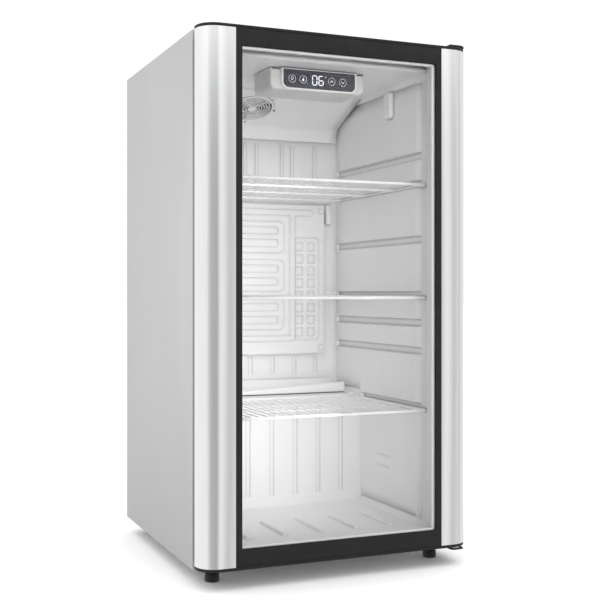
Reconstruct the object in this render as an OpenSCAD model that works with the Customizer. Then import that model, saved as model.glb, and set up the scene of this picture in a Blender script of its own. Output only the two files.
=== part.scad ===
// Glass-door reach-in refrigerator, free standing, with one hinged door and three wire shelves.
// Millimetres. Z is up, the floor is z = 0, and the door faces -Y.
// Inside the modules y is counted from the front face of the door; place() moves it to the centre.

/* [Overall] */
// Width of cabinet and door
overall_w = 468; // [440:1:570]
// Depth from the door's front face to the back panel
overall_d = 468; // [400:1:570]
// Height of the door, without the feet
door_h = 830; // [690:1:1000]
// Gap between the floor and the door
door_z = 30; // [28:1:40]

/* [Cabinet] */
// Thickness of the steel sheets
sheet_t = 1; // [0.6:0.1:1.5]
// Distance from the floor to the base pan
base_z = 25; // [22:1:26]
// Thickness of the base pan
base_t = 1.5; // [1:0.1:2]
// Foam in the side walls, from outside to inside
wall_foam = 54; // [40:1:60]
// Foam in the floor and in the roof
end_foam = 31; // [25:1:45]
// Foam in the upper rear wall
rear_foam = 45; // [35:1:60]
// Thickness of the inner liner
liner_t = 2; // [1:0.1:2.5]
// Height of the rear ledge over the compressor bay
ledge_z = 258; // [240:1:300]
// Depth of the compressor bay
bay_d = 116; // [112:1:130]
// Foam between the bay and the food space
bay_foam = 40; // [30:1:45]

/* [Shelves] */
// Number of rungs that the side walls have
rungs = 10; // [8:1:12]
// Rungs which are pressed into the walls, counted up from the lowest
pressed = [0, 2, 3, 4, 6, 8, 9];
// Rung that holds the upper shelf
upper_rung = 8; // [6:1:9]
// Rung that holds the middle shelf
middle_rung = 4; // [2:1:6]
// Height of a shelf channel
channel_h = 14; // [11:1:18]
// Depth of a shelf channel in the wall
channel_d = 8; // [6:1:10]
// Radius of the shelf frame rods
rod_r = 2.5; // [2:0.1:3.5]
// Radius of the shelf wires
wire_r = 1.25; // [1:0.05:1.6]
// Distance between shelf wires
wire_pitch = 15; // [12:0.5:25]

/* [Door] */
// Thickness of the door without the gasket
door_t = 38; // [36:1:50]
// Thickness of the gasket
gasket_t = 9; // [8:0.5:12]
// Width of an aluminium pillar
pillar_w = 55; // [50:1:62]
// Depth of a pillar
pillar_d = 36; // [34:1:36]
// Radius of a pillar's outer corner
pillar_r = 30; // [20:1:32]
// Wall of a pillar
pillar_wall = 2; // [1.5:0.1:3]
// Width of the trim on the hinge edge
trim_w = 8; // [6:1:9]
// Thickness of the end caps
cap_t = 5; // [4:0.5:7]
// Width of the black frame beside the glass
bar_w = 10; // [8:1:15]
// Height of the black frame above and below the glass
rail_h = 27; // [24:1:35]
// Thickness of one pane
pane_t = 4; // [3:0.5:5]
// Gap between the panes
pane_gap = 8; // [6:1:10]

/* [Hinge] */
// Radius of the hinge pins
pin_r = 4; // [3:0.1:5]
// Distance from the cabinet's side to the hinge axis
hinge_in = 17; // [16:0.5:18]
// Distance from the door's front face to the hinge axis
hinge_y = 22; // [21:0.5:24]
// Thickness of the hinge plates
plate_t = 2.5; // [2:0.1:3]

/* [Feet] */
// Radius of a foot's pad
pad_r = 12; // [10:0.5:13]
// Radius of a foot's stem
stem_r = 4; // [3:0.1:5]

/* [Fan] */
// Radius of the fan opening
fan_r = 38; // [34:1:40]
// Radius of the fan shaft
shaft_r = 1.5; // [1:0.1:2]

/* [Compressor] */
// Radius of the compressor shell
shell_r = 50; // [40:1:52]
// Height of the compressor shell
shell_h = 120; // [100:1:122]

/* [Hidden] */
$fn = 48;

// Clearances
seat = 0.1;     // between pieces that are assembled and stay put
loose = 0.3;    // between sheet edges
running = 0.05; // between a pin and its bush, on the radius
swing = 0.5;    // between the door and what it swings past

// Cabinet
half_w = overall_w / 2;
door_top = door_z + door_h;
cab_y = door_t + gasket_t;
cab_top = door_top - 3;
panel_z = base_z + 2;
foam_w = half_w - sheet_t - base_t;
body_w = half_w - wall_foam;
mouth_w = body_w + channel_d;
space_z = base_z + end_foam;
space_top = cab_top - end_foam - 3;
rear_y = overall_d - rear_foam;
bay_y = overall_d - bay_d;
bay_z = ledge_z - bay_foam - liner_t;
low_rear_y = bay_y - bay_foam - liner_t - sheet_t;
flare_y = cab_y + 31;
corner_r = 10;
rear_corner_r = 10;
low_corner_r = 14;
lip_w = 8;

// Shelves
slope_drop = 48;
lip_drop = 25;
cover_low = space_top - slope_drop - lip_drop;
rung_h = (cover_low - ledge_z) / (rungs + 0.25);
channel_rear = rear_y - 13;
shelf_front = cab_y + 13;
shelf_w = mouth_w - 1.5 - rod_r;

// Evaporator
evap_w = 152;
evap_y = rear_y - 13;
evap_z = ledge_z + 74;
evap_h = 294;
evap_t = 1.5;
relief = 2.5;
gutter_y = bay_y - 1;

// Fan: the cover slopes down to the rear, and the fan sits square to the slope
cover_front = rear_y - 135;
cover_rear = rear_y - 23;
cover_t = 2;
slope = atan(slope_drop / (cover_rear - cover_front));
fan_x = -25;
fan_y = cover_front + 58;
fan_z = space_top - 0.8 - (fan_y - cover_front) * tan(slope);

// Control box
box_y = cab_y + 43;
box_d = 86;
box_w = 85;
box_h = 36;
glass_w = 65;
glass_h = 30;

// Door
pillar_x = half_w - pillar_w;
frame_x = pillar_x - 0.4;
view_x = frame_x - bar_w;
view_z = door_z + cap_t + rail_h;
view_top = door_top - cap_t - rail_h;
edge = 6;
unit_t = 2 * pane_t + pane_gap;
unit_y = 4;
inner_y = unit_y + unit_t + 2 * seat;
gasket_x = half_w - hinge_in - 1;
gasket_w = 18;
hinge_x = half_w - hinge_in;
plug_h = 17;
bush_r = pin_r + 2;

// Feet
foot_x = half_w - 39;
foot_y = [cab_y + 21, overall_d - 41];
insert_r = stem_r + 2;
insert_h = 12;

// Compressor bay
comp_x = -90;
comp_y = bay_y + bay_d / 2 + 0.5;
floor_z = base_z + base_t;
comp_z = floor_z + 12;
stud_x = 60;
stud_y = 38;
stud_r = 3;
pan_z = comp_z + shell_h + seat;
drain_x = -34;
drain_y = gutter_y + 28;
drain_r = 6;
tube_r = 2.4;
suction_r = 3.2;
suction_x = 120;
suction_y = rear_y + 22;
pass_pitch = (overall_d - 66 - cab_y - 55) / 4;
pass_y = [for (i = [0 : 4]) cab_y + 55 + i * pass_pitch];
pass_x = half_w - sheet_t - tube_r - 0.4;
pass_low = 120;
pass_high = cab_top - 110;
cross_z = cab_top - sheet_t - tube_r - 0.2;
drier_x = 160;
drier_y = bay_y + 70;
gland_x = 185;
gland_z = base_z + 30;

// Helpers
module place() translate([0, -overall_d / 2, 0]) children();

module span(x, y, z)
    translate([x[0], y[0], z[0]]) cube([x[1] - x[0], y[1] - y[0], z[1] - z[0]]);

// A drawing of x and z, made solid from y = y0 to y = y1
module across(y0, y1)
    translate([0, y1, 0]) rotate([90, 0, 0]) linear_extrude(y1 - y0) children();

// A drawing of y and z, made solid from x = x0 to x = x1
module along(x0, x1)
    translate([x0, 0, 0]) rotate([90, 0, 90]) linear_extrude(x1 - x0) children();

module rod(p, q, r) {
    d = q - p;
    l = norm(d);
    translate(p)
        rotate([0, acos(d[2] / l), atan2(d[1], d[0])])
            cylinder(r = r, h = l);
}

// A tube through the points, with round elbows
module pipe(points, r)
    union() {
        for (i = [1 : len(points) - 1])
            rod(points[i - 1], points[i], r);
        for (i = [1 : len(points) - 2])
            translate(points[i]) sphere(r);
    }

module round_rect(x, z, r) {
    translate([x[0] + r, z[0]]) square([x[1] - x[0] - 2 * r, z[1] - z[0]]);
    translate([x[0], z[0] + r]) square([x[1] - x[0], z[1] - z[0] - 2 * r]);
    for (cx = [x[0] + r, x[1] - r], cz = [z[0] + r, z[1] - r])
        translate([cx, cz]) circle(r);
}

module rect(x, z) translate([x[0], z[0]]) square([x[1] - x[0], z[1] - z[0]]);

module ring(x, z, w)
    difference() {
        rect([-x, x], z);
        rect([-x + w, x - w], [z[0] + w, z[1] - w]);
    }

// The food space, grown on every side by g, without the shelf channels
module room(g) {
    intersection() {
        across(cab_y - 1, rear_y + 10)
            round_rect([-mouth_w - g, mouth_w + g], [space_z - g, space_top + g], corner_r + g);
        union() {
            translate([0, 0, ledge_z - g])
                linear_extrude(space_top - ledge_z + 2 * g)
                    plan(g, rear_y, rear_corner_r);
            translate([0, 0, space_z - g])
                linear_extrude(ledge_z - space_z + 2 * g)
                    plan(g, low_rear_y, low_corner_r);
        }
    }
}

// Plan of the food space: the mouth, the flare and the body with its rounded rear corners
module plan(g, rear, r) {
    polygon([
        [-mouth_w - g, cab_y], [mouth_w + g, cab_y], [mouth_w + g, flare_y], [body_w + g, flare_y + 9],
        [body_w + g, flare_y + 60], [-body_w - g, flare_y + 60], [-body_w - g, flare_y + 9],
        [-mouth_w - g, flare_y]
    ]);
    round_rect([-body_w - g, body_w + g], [flare_y + 9, rear + g], r + g);
}

function rung_z(k) = ledge_z + 5 + k * rung_h - channel_h;

module channels(g)
    for (k = pressed, s = [-1, 1]) {
        x = s > 0 ? [body_w - 5, mouth_w + g] : [-mouth_w - g, 5 - body_w];
        low = k > 0 ? channel_rear : low_rear_y - 4;
        span(x, [flare_y - 3, low + g], [rung_z(k) - g, rung_z(k) + channel_h + g]);
    }

// Outer shape of a pillar in plan, inset by g; side is -1 or 1
module pillar_plan(side, g)
    scale([side, 1]) {
        r = pillar_r - g;
        translate([pillar_x + g, g]) square([pillar_w - g - pillar_r, pillar_d - 2 * g]);
        translate([half_w - pillar_r - 0.01, pillar_r])
            square([pillar_r - g + 0.01, pillar_d - pillar_r - g]);
        intersection() {
            translate([half_w - pillar_r, pillar_r]) circle(r);
            translate([half_w - pillar_r, 0]) square(pillar_r);
        }
    }

// Inside of a pillar in plan; the hinge side stops short of the edge trim
module hollow_plan(side, g)
    intersection() {
        pillar_plan(side, pillar_wall + g);
        w = side > 0 ? trim_w + pillar_wall + g : 0;
        rect(side > 0 ? [pillar_x, half_w - w] : [-half_w, -pillar_x], [0, pillar_d]);
    }

module door_plan()
    union() {
        rect([pillar_r - half_w, half_w - pillar_r], [0, door_t]);
        rect([-half_w, half_w], [pillar_r, door_t]);
        for (s = [-1, 1])
            translate([s * (half_w - pillar_r), pillar_r])
                intersection() {
                    circle(pillar_r);
                    rect([-pillar_r, pillar_r], [-pillar_r, 0]);
                }
    }

// Cabinet
module side_panel(s)
    scale([s, 1, 1]) {
        span([half_w - sheet_t, half_w], [cab_y, overall_d], [panel_z, cab_top]);
        span([mouth_w + lip_w + loose, half_w], [cab_y, cab_y + sheet_t], [panel_z, cab_top]);
        span([half_w - 12, half_w], [overall_d - 2 * sheet_t - loose, overall_d - sheet_t - loose],
            [panel_z, cab_top - sheet_t - loose]);
    }

module side_panel_left() color("lightgray") place() mirror([1, 0, 0]) side_panel(1);

module side_panel_right() color("lightgray") place() side_panel(1);

module top_panel()
    color("lightgray") place() {
        w = half_w - sheet_t - loose / 2;
        x = mouth_w + lip_w;
        difference() {
            span([-w, w], [cab_y + sheet_t + seat, overall_d - 3 * sheet_t], [cab_top - sheet_t, cab_top]);
            screw_holes(2.2);
        }
        span([-x, x], [cab_y, cab_y + sheet_t], [space_top + lip_w + loose, cab_top]);
        span([-x, x], [cab_y, cab_y + 2 * sheet_t], [cab_top - sheet_t, cab_top]);
    }

module back_panel()
    color("silver") place() {
        w = half_w - sheet_t - loose / 2;
        span([-w, w], [overall_d - sheet_t, overall_d], [bay_z, cab_top]);
    }

module base_pan()
    color("dimgray") place() {
        w = half_w - sheet_t - loose;
        x = mouth_w + lip_w;
        difference() {
            union() {
                span(
                    [-w, w],
                    [cab_y + sheet_t + seat, overall_d - sheet_t - seat],
                    [base_z, base_z + base_t]
                );
                span([-x, x], [cab_y, cab_y + sheet_t], [base_z, space_z - lip_w - loose]);
                span([-x, x], [cab_y, cab_y + 4], [base_z, base_z + base_t]);
                for (s = [-1, 1])
                    scale([s, 1, 1])
                        span([w - 1, w], [cab_y + sheet_t + seat, overall_d - 4], [base_z, base_z + 18]);
            }
            foot_places() translate([0, 0, base_z - 1]) cylinder(r = insert_r + seat, h = 5);
            studs() translate([0, 0, base_z - 1]) cylinder(r = stud_r + seat, h = 5);
            screw_holes(2.2);
        }
    }

module bay_panel()
    color("gainsboro") place()
        difference() {
            t = sheet_t;
            along(-foam_w, foam_w)
                polygon([
                    [bay_y - t, floor_z + seat], [bay_y, floor_z + seat], [bay_y, bay_z - t],
                    [overall_d - 3, bay_z - t], [overall_d - 3, bay_z], [bay_y - t, bay_z]
                ]);
            drain_cut(0.2);
            suction_cut(0.3);
            condenser_shape(tube_r + 0.3);
        }

module inner_liner()
    color("white") place()
        difference() {
            union() {
                room(liner_t);
                channels(liner_t);
                lip();
            }
            difference() {
                union() {
                    room(0);
                    channels(0);
                }
                floor_ribs();
            }
            grooves();
            drain_cut(0.2);
            suction_cut(0.3);
        }

module lip()
    across(cab_y, cab_y + liner_t)
        difference() {
            round_rect([-mouth_w - lip_w, mouth_w + lip_w], [space_z - lip_w, space_top + lip_w],
                corner_r + lip_w);
            round_rect([-mouth_w - 1, mouth_w + 1], [space_z - 1, space_top + 1], corner_r + 1);
        }

// Raised ribs on the floor of the food space
module floor_ribs()
    for (i = [-2 : 2]) {
        x = i * body_w * 0.36;
        span([x - 3, x + 3], [cab_y + 38, cab_y + 140], [space_z - 1, space_z + 3]);
        for (y = [cab_y + 38, cab_y + 140])
            translate([x, y, space_z - 1]) cylinder(r = 3, h = 4);
    }

// Upright grooves in the lower rear wall
module grooves()
    for (i = [-3 : 3])
        span([i * body_w * 0.26 - 4, i * body_w * 0.26 + 4], [low_rear_y - 1, low_rear_y + 1],
            [space_z + 21, ledge_z - 14]);

module foam_insulation()
    color("khaki") place()
        difference() {
            y0 = cab_y + liner_t + seat;
            z1 = cab_top - sheet_t - seat;
            y1 = overall_d - 2 * sheet_t - 2 * loose;
            along(-foam_w + seat, foam_w - seat)
                polygon([
                    [y0, floor_z + seat], [bay_y - sheet_t - seat, floor_z + seat],
                    [bay_y - sheet_t - seat, bay_z + seat], [y1, bay_z + seat], [y1, z1], [y0, z1]
                ]);
            room(liner_t + seat);
            channels(liner_t + seat);
            condenser_shape(tube_r + 0.2);
            drain_cut(0.2);
            suction_cut(0.3);
            screw_holes(2.2);
            foot_places() translate([0, 0, base_z]) cylinder(r = insert_r + 2 * seat, h = insert_h + 1);
        }

// Evaporator
module evaporator_plate()
    color("gainsboro") place()
        difference() {
            union() {
                span([-evap_w, evap_w], [evap_y, evap_y + evap_t], [evap_z, evap_z + evap_h]);
                across(evap_y - relief, evap_y + 0.5) evaporator_channels();
            }
            for (p = standoff_points)
                translate([p[0], evap_y - relief - 1, p[1]]) rotate([-90, 0, 0]) cylinder(r = 2.1, h = 9);
        }

standoff_points = [for (x = [-1, 1], z = [0.04, 0.96]) [x * (evap_w - 8), evap_z + z * evap_h]];

// The refrigerant path that is blown up from the plate
module evaporator_channels() {
    top = evap_z + evap_h - 11;
    for (i = [0 : 2])
        difference() {
            round_rect([-64, 64], [top - 84 - i * 75, top - 24 - i * 75], 9);
            for (z = [41, 66])
                round_rect([-53, 53], [top - z - 8 - i * 75, top - z + 8 - i * 75], 7);
        }
    rect([-138, 125], [top - 10, top]);
    rect([-138, -129], [evap_z + 26, top]);
    rect([78, 88], [evap_z + 34, top - 5]);
    rect([-138, 88], [evap_z + 26, evap_z + 35]);
    difference() {
        round_rect([88, 138], [evap_z + 28, evap_z + 228], 5);
        for (c = [96, 121], i = [0 : 7])
            rect([c - 7, c + 9], [evap_z + 34 + i * 24, evap_z + 52 + i * 24]);
    }
}

module evaporator_standoffs()
    color("white") place()
        for (p = standoff_points)
            translate([p[0], evap_y + evap_t, p[1]]) rotate([-90, 0, 0]) {
                cylinder(r = 5, h = rear_y - evap_y - evap_t);
                translate([0, 0, -evap_t - 1]) cylinder(r = 2, h = 4);
                translate([0, 0, -evap_t - 2]) cylinder(r = 4, h = 2);
            }

module drip_gutter()
    color("white") place()
        difference() {
            along(-body_w + 12, body_w - 12)
                polygon([
                    [gutter_y, ledge_z + 1], [rear_y - 4, ledge_z + 1], [rear_y - 4, ledge_z + 24],
                    [rear_y - 6, ledge_z + 24], [rear_y - 6, ledge_z + 3], [gutter_y + 2, ledge_z + 3],
                    [gutter_y + 2, ledge_z + 22], [gutter_y, ledge_z + 22]
                ]);
            across(gutter_y - 1, gutter_y + 3)
                polygon([
                    [-body_w, ledge_z + 22], [drain_x, ledge_z + 9], [body_w, ledge_z + 22],
                    [body_w, ledge_z + 30], [-body_w, ledge_z + 30]
                ]);
            translate([drain_x, drain_y, ledge_z]) cylinder(r = drain_r + seat, h = 10);
        }

module drain_cut(g)
    translate([drain_x, drain_y, bay_z - 3]) cylinder(r = drain_r + g, h = ledge_z - bay_z + 4);

module drain_tube()
    color("whitesmoke") place()
        translate([drain_x, drain_y, 0])
            difference() {
                translate([0, 0, pan_z + 8]) cylinder(r = drain_r, h = ledge_z + 3 - pan_z - 8);
                cylinder(r = drain_r - 1.5, h = 400);
            }

module evaporation_pan()
    color("dimgray") place()
        difference() {
            span([comp_x - 75, comp_x + 75], [bay_y + 6, overall_d - 12], [pan_z, pan_z + 20]);
            span([comp_x - 73, comp_x + 73], [bay_y + 8, overall_d - 14], [pan_z + 2, pan_z + 21]);
        }

// Fan
module fan_frame() translate([fan_x, fan_y, fan_z]) rotate([-slope, 0, 0]) children();

module fan_cover()
    color("white") place()
        difference() {
            w = body_w - 6;
            z = space_top - 0.8;
            y0 = cover_front;
            y1 = cover_rear;
            t = cover_t / cos(slope);
            union() {
                along(-w, w)
                    polygon([
                        [y0, z], [y1, z - slope_drop], [y1, cover_low], [y1 + cover_t, cover_low],
                        [y1 + cover_t, z - slope_drop + t - 1], [y0 + t / tan(slope), z]
                    ]);
                for (x = [-w, w - cover_t])
                    along(x, x + cover_t)
                        polygon([
                            [y0, z], [y1, z - slope_drop],
                            [y1 + cover_t, z - slope_drop], [y1 + cover_t, z]
                        ]);
            }
            fan_frame() translate([0, 0, -3]) cylinder(r = fan_r + 2, h = 9);
            fan_frame() for (a = [0, 90, 180])
                rotate(a) translate([fan_r + 6, 0, -3]) cylinder(r = 1.6, h = 9);
        }

module fan_grille()
    color("white") place() fan_frame() {
        for (r = [8 : 5 : fan_r - 1])
            difference() {
                translate([0, 0, -1.5]) cylinder(r = r + 0.8, h = 1.6);
                translate([0, 0, -2]) cylinder(r = r - 0.8, h = 3);
            }
        for (a = [0 : 45 : 135])
            rotate(a) translate([-fan_r - 1, -0.8, -1]) cube([2 * fan_r + 2, 1.6, 1.6]);
        difference() {
            translate([0, 0, -2]) cylinder(r = fan_r + 4, h = 1.9);
            translate([0, 0, -3]) cylinder(r = fan_r, h = 4);
        }
        translate([0, 0, -1.5]) cylinder(r = 5, h = 1.6);
    }

module fan_motor()
    color("dimgray") place() fan_frame()
        difference() {
            union() {
                translate([0, 0, 9.5]) cylinder(r = 11, h = 6.5);
                for (a = [0, 90, 180])
                    rotate(a) {
                        translate([8, -3, 10]) cube([fan_r - 2, 6, 2]);
                        translate([fan_r + 6, 0, cover_t]) cylinder(r = 4, h = 12 - cover_t);
                        translate([fan_r + 6, 0, -2]) cylinder(r = 1.5, h = 10);
                    }
            }
            translate([0, 0, 9]) cylinder(r = shaft_r + running, h = 5.5);
        }

module fan_blade()
    color("gray") place() fan_frame() {
        translate([0, 0, 2.2]) cylinder(r = 9, h = 6);
        translate([0, 0, 7]) cylinder(r = shaft_r, h = 7);
        for (a = [0 : 60 : 300])
            rotate(a) translate([6, 0, 5]) rotate([20, 0, 0])
                translate([0, -7, -0.6]) cube([fan_r - 14, 14, 1.2]);
    }

// Controls
module control_box()
    color("white") place()
        difference() {
            z1 = space_top - loose;
            z0 = z1 - box_h;
            union() {
                across(box_y, box_y + box_d) {
                    round_rect([-box_w, box_w], [z0, z1], 10);
                    rect([-box_w, box_w], [z0 + 15, z1]);
                }
            }
            span([2 - box_w, box_w - 2], [box_y + 5, box_y + box_d - 2], [z0 + 2, z1 + 1]);
            across(box_y - 1, box_y + 3) display_shape(seat);
            span([10 - glass_w, glass_w - 10], [box_y - 1, box_y + 6], [z0 + 10, z1 - 10]);
        }

module display_shape(g) {
    z0 = space_top - loose - box_h + 3 - g;
    z1 = z0 + glass_h + 2 * g;
    round_rect([-glass_w - g, glass_w + g], [z0, z1], 9);
    rect([-glass_w - g, glass_w + g], [z0 + 15, z1]);
}

module display_panel() color("dimgray") place() across(box_y + 0.4, box_y + 2.8) display_shape(0);

module control_board()
    color("darkgreen") place() {
        z = space_top - box_h;
        span([14 - glass_w, glass_w - 14], [box_y + 5.2, box_y + 6.8], [z + 8, z + 30]);
        for (x = [-28, 0, 28])
            span([x - 6, x + 6], [box_y + 6.7, box_y + 12], [z + 14, z + 24]);
    }

module lamp_cover()
    color("whitesmoke") place()
        difference() {
            y = flare_y + 90;
            span([body_w - 9, body_w - seat], [y, y + 25], [cover_low + 16, cover_low + 62]);
            span([body_w - 7.5, body_w], [y + 2, y + 23], [cover_low + 18, cover_low + 60]);
        }

module lamp_board()
    color("ivory") place() {
        y = flare_y + 90;
        span([body_w - 1.8, body_w - 0.3], [y + 3, y + 22], [cover_low + 19, cover_low + 59]);
        for (i = [0 : 2])
            span(
                [body_w - 3.2, body_w - 1.7],
                [y + 10, y + 15],
                [cover_low + 24 + i * 12, cover_low + 29 + i * 12]
            );
    }

module probe_clip()
    color("white") place()
        difference() {
            z = evap_z + evap_h - 37;
            x = evap_w + 5;
            span([x, x + 12], [rear_y - 13, rear_y - seat], [z, z + 43]);
            span([x + 2, x + 10], [rear_y - 14, rear_y - 3], [z + 3, z + 44]);
        }

module temperature_probe()
    color("dimgray") place()
        translate([evap_w + 11, rear_y - 6.5, evap_z + evap_h - 34]) {
            cylinder(r = 3, h = 30);
            translate([0, 0, 30]) sphere(3);
        }

// Compressor bay
module studs()
    for (sx = [-1, 1], sy = [-1, 1])
        translate([comp_x + sx * stud_x, comp_y + sy * stud_y, 0]) children();

module compressor()
    color("dimgray") place()
        difference() {
            union() {
                translate([comp_x, comp_y, comp_z]) {
                    rotate_extrude()
                        polygon([
                            [0, 0], [shell_r - 14, 0], [shell_r - 4, 6], [shell_r, 16],
                            [shell_r, shell_h - 26],
                            [shell_r - 6, shell_h - 10], [shell_r - 20, shell_h], [0, shell_h]
                        ]);
                    translate([0, 0, shell_h * 0.55]) cylinder(r = shell_r + 1.5, h = 4);
                }
                span([comp_x - stud_x - 12, comp_x + stud_x + 12],
                    [comp_y - stud_y - 9, comp_y + stud_y + 9],
                    [comp_z, comp_z + 3]);
                // stubs: suction, process and discharge
                translate([comp_x + shell_r - 3, comp_y + 10, comp_z + 50])
                    rotate([0, 90, 0]) cylinder(r = 4.5, h = 18);
                translate([comp_x + shell_r - 3, comp_y - 10, comp_z + 50])
                    rotate([0, 90, 0]) cylinder(r = 4.5, h = 14);
                translate([comp_x - shell_r - 15, comp_y, comp_z + 30])
                    rotate([0, 90, 0]) cylinder(r = 4, h = 18);
            }
            studs() translate([0, 0, comp_z - 1]) cylinder(r = 6.1, h = 6);
        }

module compressor_grommets()
    color("black") place() studs()
        difference() {
            union() {
                translate([0, 0, floor_z]) cylinder(r = 9, h = comp_z - floor_z);
                translate([0, 0, floor_z]) cylinder(r = 6, h = comp_z - floor_z + 6);
                translate([0, 0, comp_z + 3]) cylinder(r = 8, h = 5);
            }
            translate([0, 0, floor_z - 1]) cylinder(r = stud_r + seat, h = 60);
        }

module compressor_studs()
    color("silver") place() studs() {
        translate([0, 0, base_z - 2]) cylinder(r = stud_r + 2.5, h = 2);
        translate([0, 0, base_z - 1]) cylinder(r = stud_r, h = comp_z - base_z + 16);
        translate([0, 0, comp_z + 8]) cylinder(r = 5.5, h = 5, $fn = 6);
    }

module start_relay()
    color("black") place()
        difference() {
            span(
                [comp_x + shell_r - 6, comp_x + shell_r + 22],
                [comp_y - 20, comp_y + 20],
                [comp_z + 6, comp_z + 42]
            );
            translate([comp_x, comp_y, 0]) cylinder(r = shell_r + seat, h = 400);
        }

// Tubes behind both side panels, joined across the roof
module condenser_shape(r) {
    for (s = [-1, 1]) {
        x = s * pass_x;
        for (i = [0 : len(pass_y) - 1]) {
            low = i == len(pass_y) - 1 ? bay_z - 50 : pass_low;
            high = i == 0 ? cross_z : pass_high;
            rod([x, pass_y[i], low], [x, pass_y[i], high], r);
        }
        for (i = [0 : len(pass_y) - 2])
            translate([x, (pass_y[i] + pass_y[i + 1]) / 2, i % 2 == 0 ? pass_low : pass_high])
                rotate([90, 0, 90])
                    rotate([0, 0, i % 2 == 0 ? 180 : 0])
                        rotate_extrude(angle = 180)
                            translate([(pass_y[i + 1] - pass_y[i]) / 2, 0]) circle(r);
        translate([x, pass_y[0], cross_z]) sphere(r);
    }
    rod([-pass_x, pass_y[0], cross_z], [pass_x, pass_y[0], cross_z], r);
}

module condenser_tubes() color("peru") place() condenser_shape(tube_r);

function suction_points() = [
    [suction_x, evap_y + evap_t + 0.2, evap_z + 14],
    [suction_x, suction_y, evap_z + 14],
    [suction_x, suction_y, bay_z - 30],
    [suction_x, comp_y + 10, bay_z - 30],
    [suction_x, comp_y + 10, comp_z + 50],
    [comp_x + shell_r + 15.3, comp_y + 10, comp_z + 50]
];

module suction_cut(g)
    pipe([for (i = [0 : 3]) suction_points()[i]], suction_r + g);

module suction_line() color("peru") place() pipe(suction_points(), suction_r);

module discharge_line()
    color("peru") place()
        pipe([
            [comp_x - shell_r - 15.3, comp_y, comp_z + 30],
            [-half_w + 40, comp_y, comp_z + 30],
            [-half_w + 40, pass_y[4], comp_z + 30],
            [-half_w + 40, pass_y[4], bay_z - 60],
            [-pass_x, pass_y[4], bay_z - 60],
            [-pass_x, pass_y[4], bay_z - 50.2]
        ], tube_r);

module filter_drier()
    color("chocolate") place() {
        translate([drier_x, drier_y, floor_z + 40]) cylinder(r = 9.5, h = 90);
        translate([drier_x, drier_y, floor_z + 128]) cylinder(r1 = 9.5, r2 = 3, h = 12);
        pipe([
            [drier_x, drier_y, floor_z + 130],
            [drier_x, drier_y, floor_z + 150],
            [pass_x, drier_y, floor_z + 150],
            [pass_x, pass_y[4], floor_z + 150],
            [pass_x, pass_y[4], bay_z - 50.2 - tube_r]
        ], tube_r);
    }

module rear_grille()
    color("gray") place()
        difference() {
            w = half_w - sheet_t - loose;
            span([-w, w], [overall_d - sheet_t, overall_d], [base_z, bay_z - loose]);
            for (i = [0 : 9], j = [-3 : 3])
                span([j * 58 - 22, j * 58 + 22], [overall_d - 5, overall_d + 1],
                    [base_z + 50 + i * 13, base_z + 55 + i * 13]);
            translate([gland_x, overall_d - 5, gland_z]) rotate([-90, 0, 0]) cylinder(r = 7.1, h = 9);
        }

module cord_gland()
    color("black") place() translate([gland_x, overall_d, gland_z]) rotate([90, 0, 0])
        difference() {
            union() {
                cylinder(r = 7, h = 10);
                translate([0, 0, sheet_t + seat]) cylinder(r = 10, h = 3);
            }
            translate([0, 0, -1]) cylinder(r = 4, h = 30);
        }

// Hinge
module screw_holes(r)
    for (p = screw_points)
        translate([hinge_x, p[0], p[1] > 0 ? cab_top - 14 : base_z - 6])
            cylinder(r = r, h = 20);

screw_points = [[cab_y + 22, 1], [cab_y + 42, 1], [cab_y + 22, 0], [cab_y + 42, 0]];

module hinge_bracket_top()
    color("silver") place()
        difference() {
            top = door_top + swing + plate_t;
            along(hinge_x - 13, hinge_x + 9)
                polygon([
                    [hinge_y - 8, door_top + swing], [cab_y + 9 - plate_t, door_top + swing],
                    [cab_y + 9 - plate_t, cab_top], [cab_y + 52, cab_top],
                    [cab_y + 52, cab_top + plate_t], [cab_y + 9, cab_top + plate_t],
                    [cab_y + 9, top], [hinge_y - 8, top]
                ]);
            screw_holes(2.2);
            translate([hinge_x, hinge_y, door_top]) cylinder(r = pin_r + seat, h = 10);
        }

module hinge_bracket_bottom()
    color("dimgray") place()
        difference() {
            span([hinge_x - 11, hinge_x + 13], [hinge_y - 10, cab_y + 52], [base_z - plate_t, base_z]);
            screw_holes(2.2);
            translate([hinge_x, hinge_y, 0]) cylinder(r = pin_r + seat, h = 30);
        }

module hinge_pin_top()
    color("silver") place() translate([hinge_x, hinge_y, 0]) {
        top = door_top + swing + plate_t;
        translate([0, 0, door_top - 18]) cylinder(r = pin_r, h = top - door_top + 18);
        translate([0, 0, top]) cylinder(r = pin_r + 2, h = 1.5);
    }

module hinge_pin_bottom()
    color("silver") place() translate([hinge_x, hinge_y, 0]) {
        translate([0, 0, base_z - plate_t]) cylinder(r = pin_r, h = door_z + 16 - base_z);
        translate([0, 0, base_z - plate_t - 1.5]) cylinder(r = pin_r + 2, h = 1.5);
    }

module hinge_washer()
    color("white") place() translate([hinge_x, hinge_y, base_z])
        difference() {
            cylinder(r = pin_r + 4, h = door_z - base_z - swing);
            translate([0, 0, -1]) cylinder(r = pin_r + seat, h = 10);
        }

module hinge_screws()
    color("silver") place()
        for (p = screw_points)
            translate([hinge_x, p[0], p[1] > 0 ? cab_top + plate_t : base_z - plate_t])
                mirror([0, 0, p[1] > 0 ? 0 : 1]) {
                    cylinder(r = 4, h = 1.8);
                    translate([0, 0, -plate_t - 11]) cylinder(r = 2, h = plate_t + 11);
                }

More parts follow.
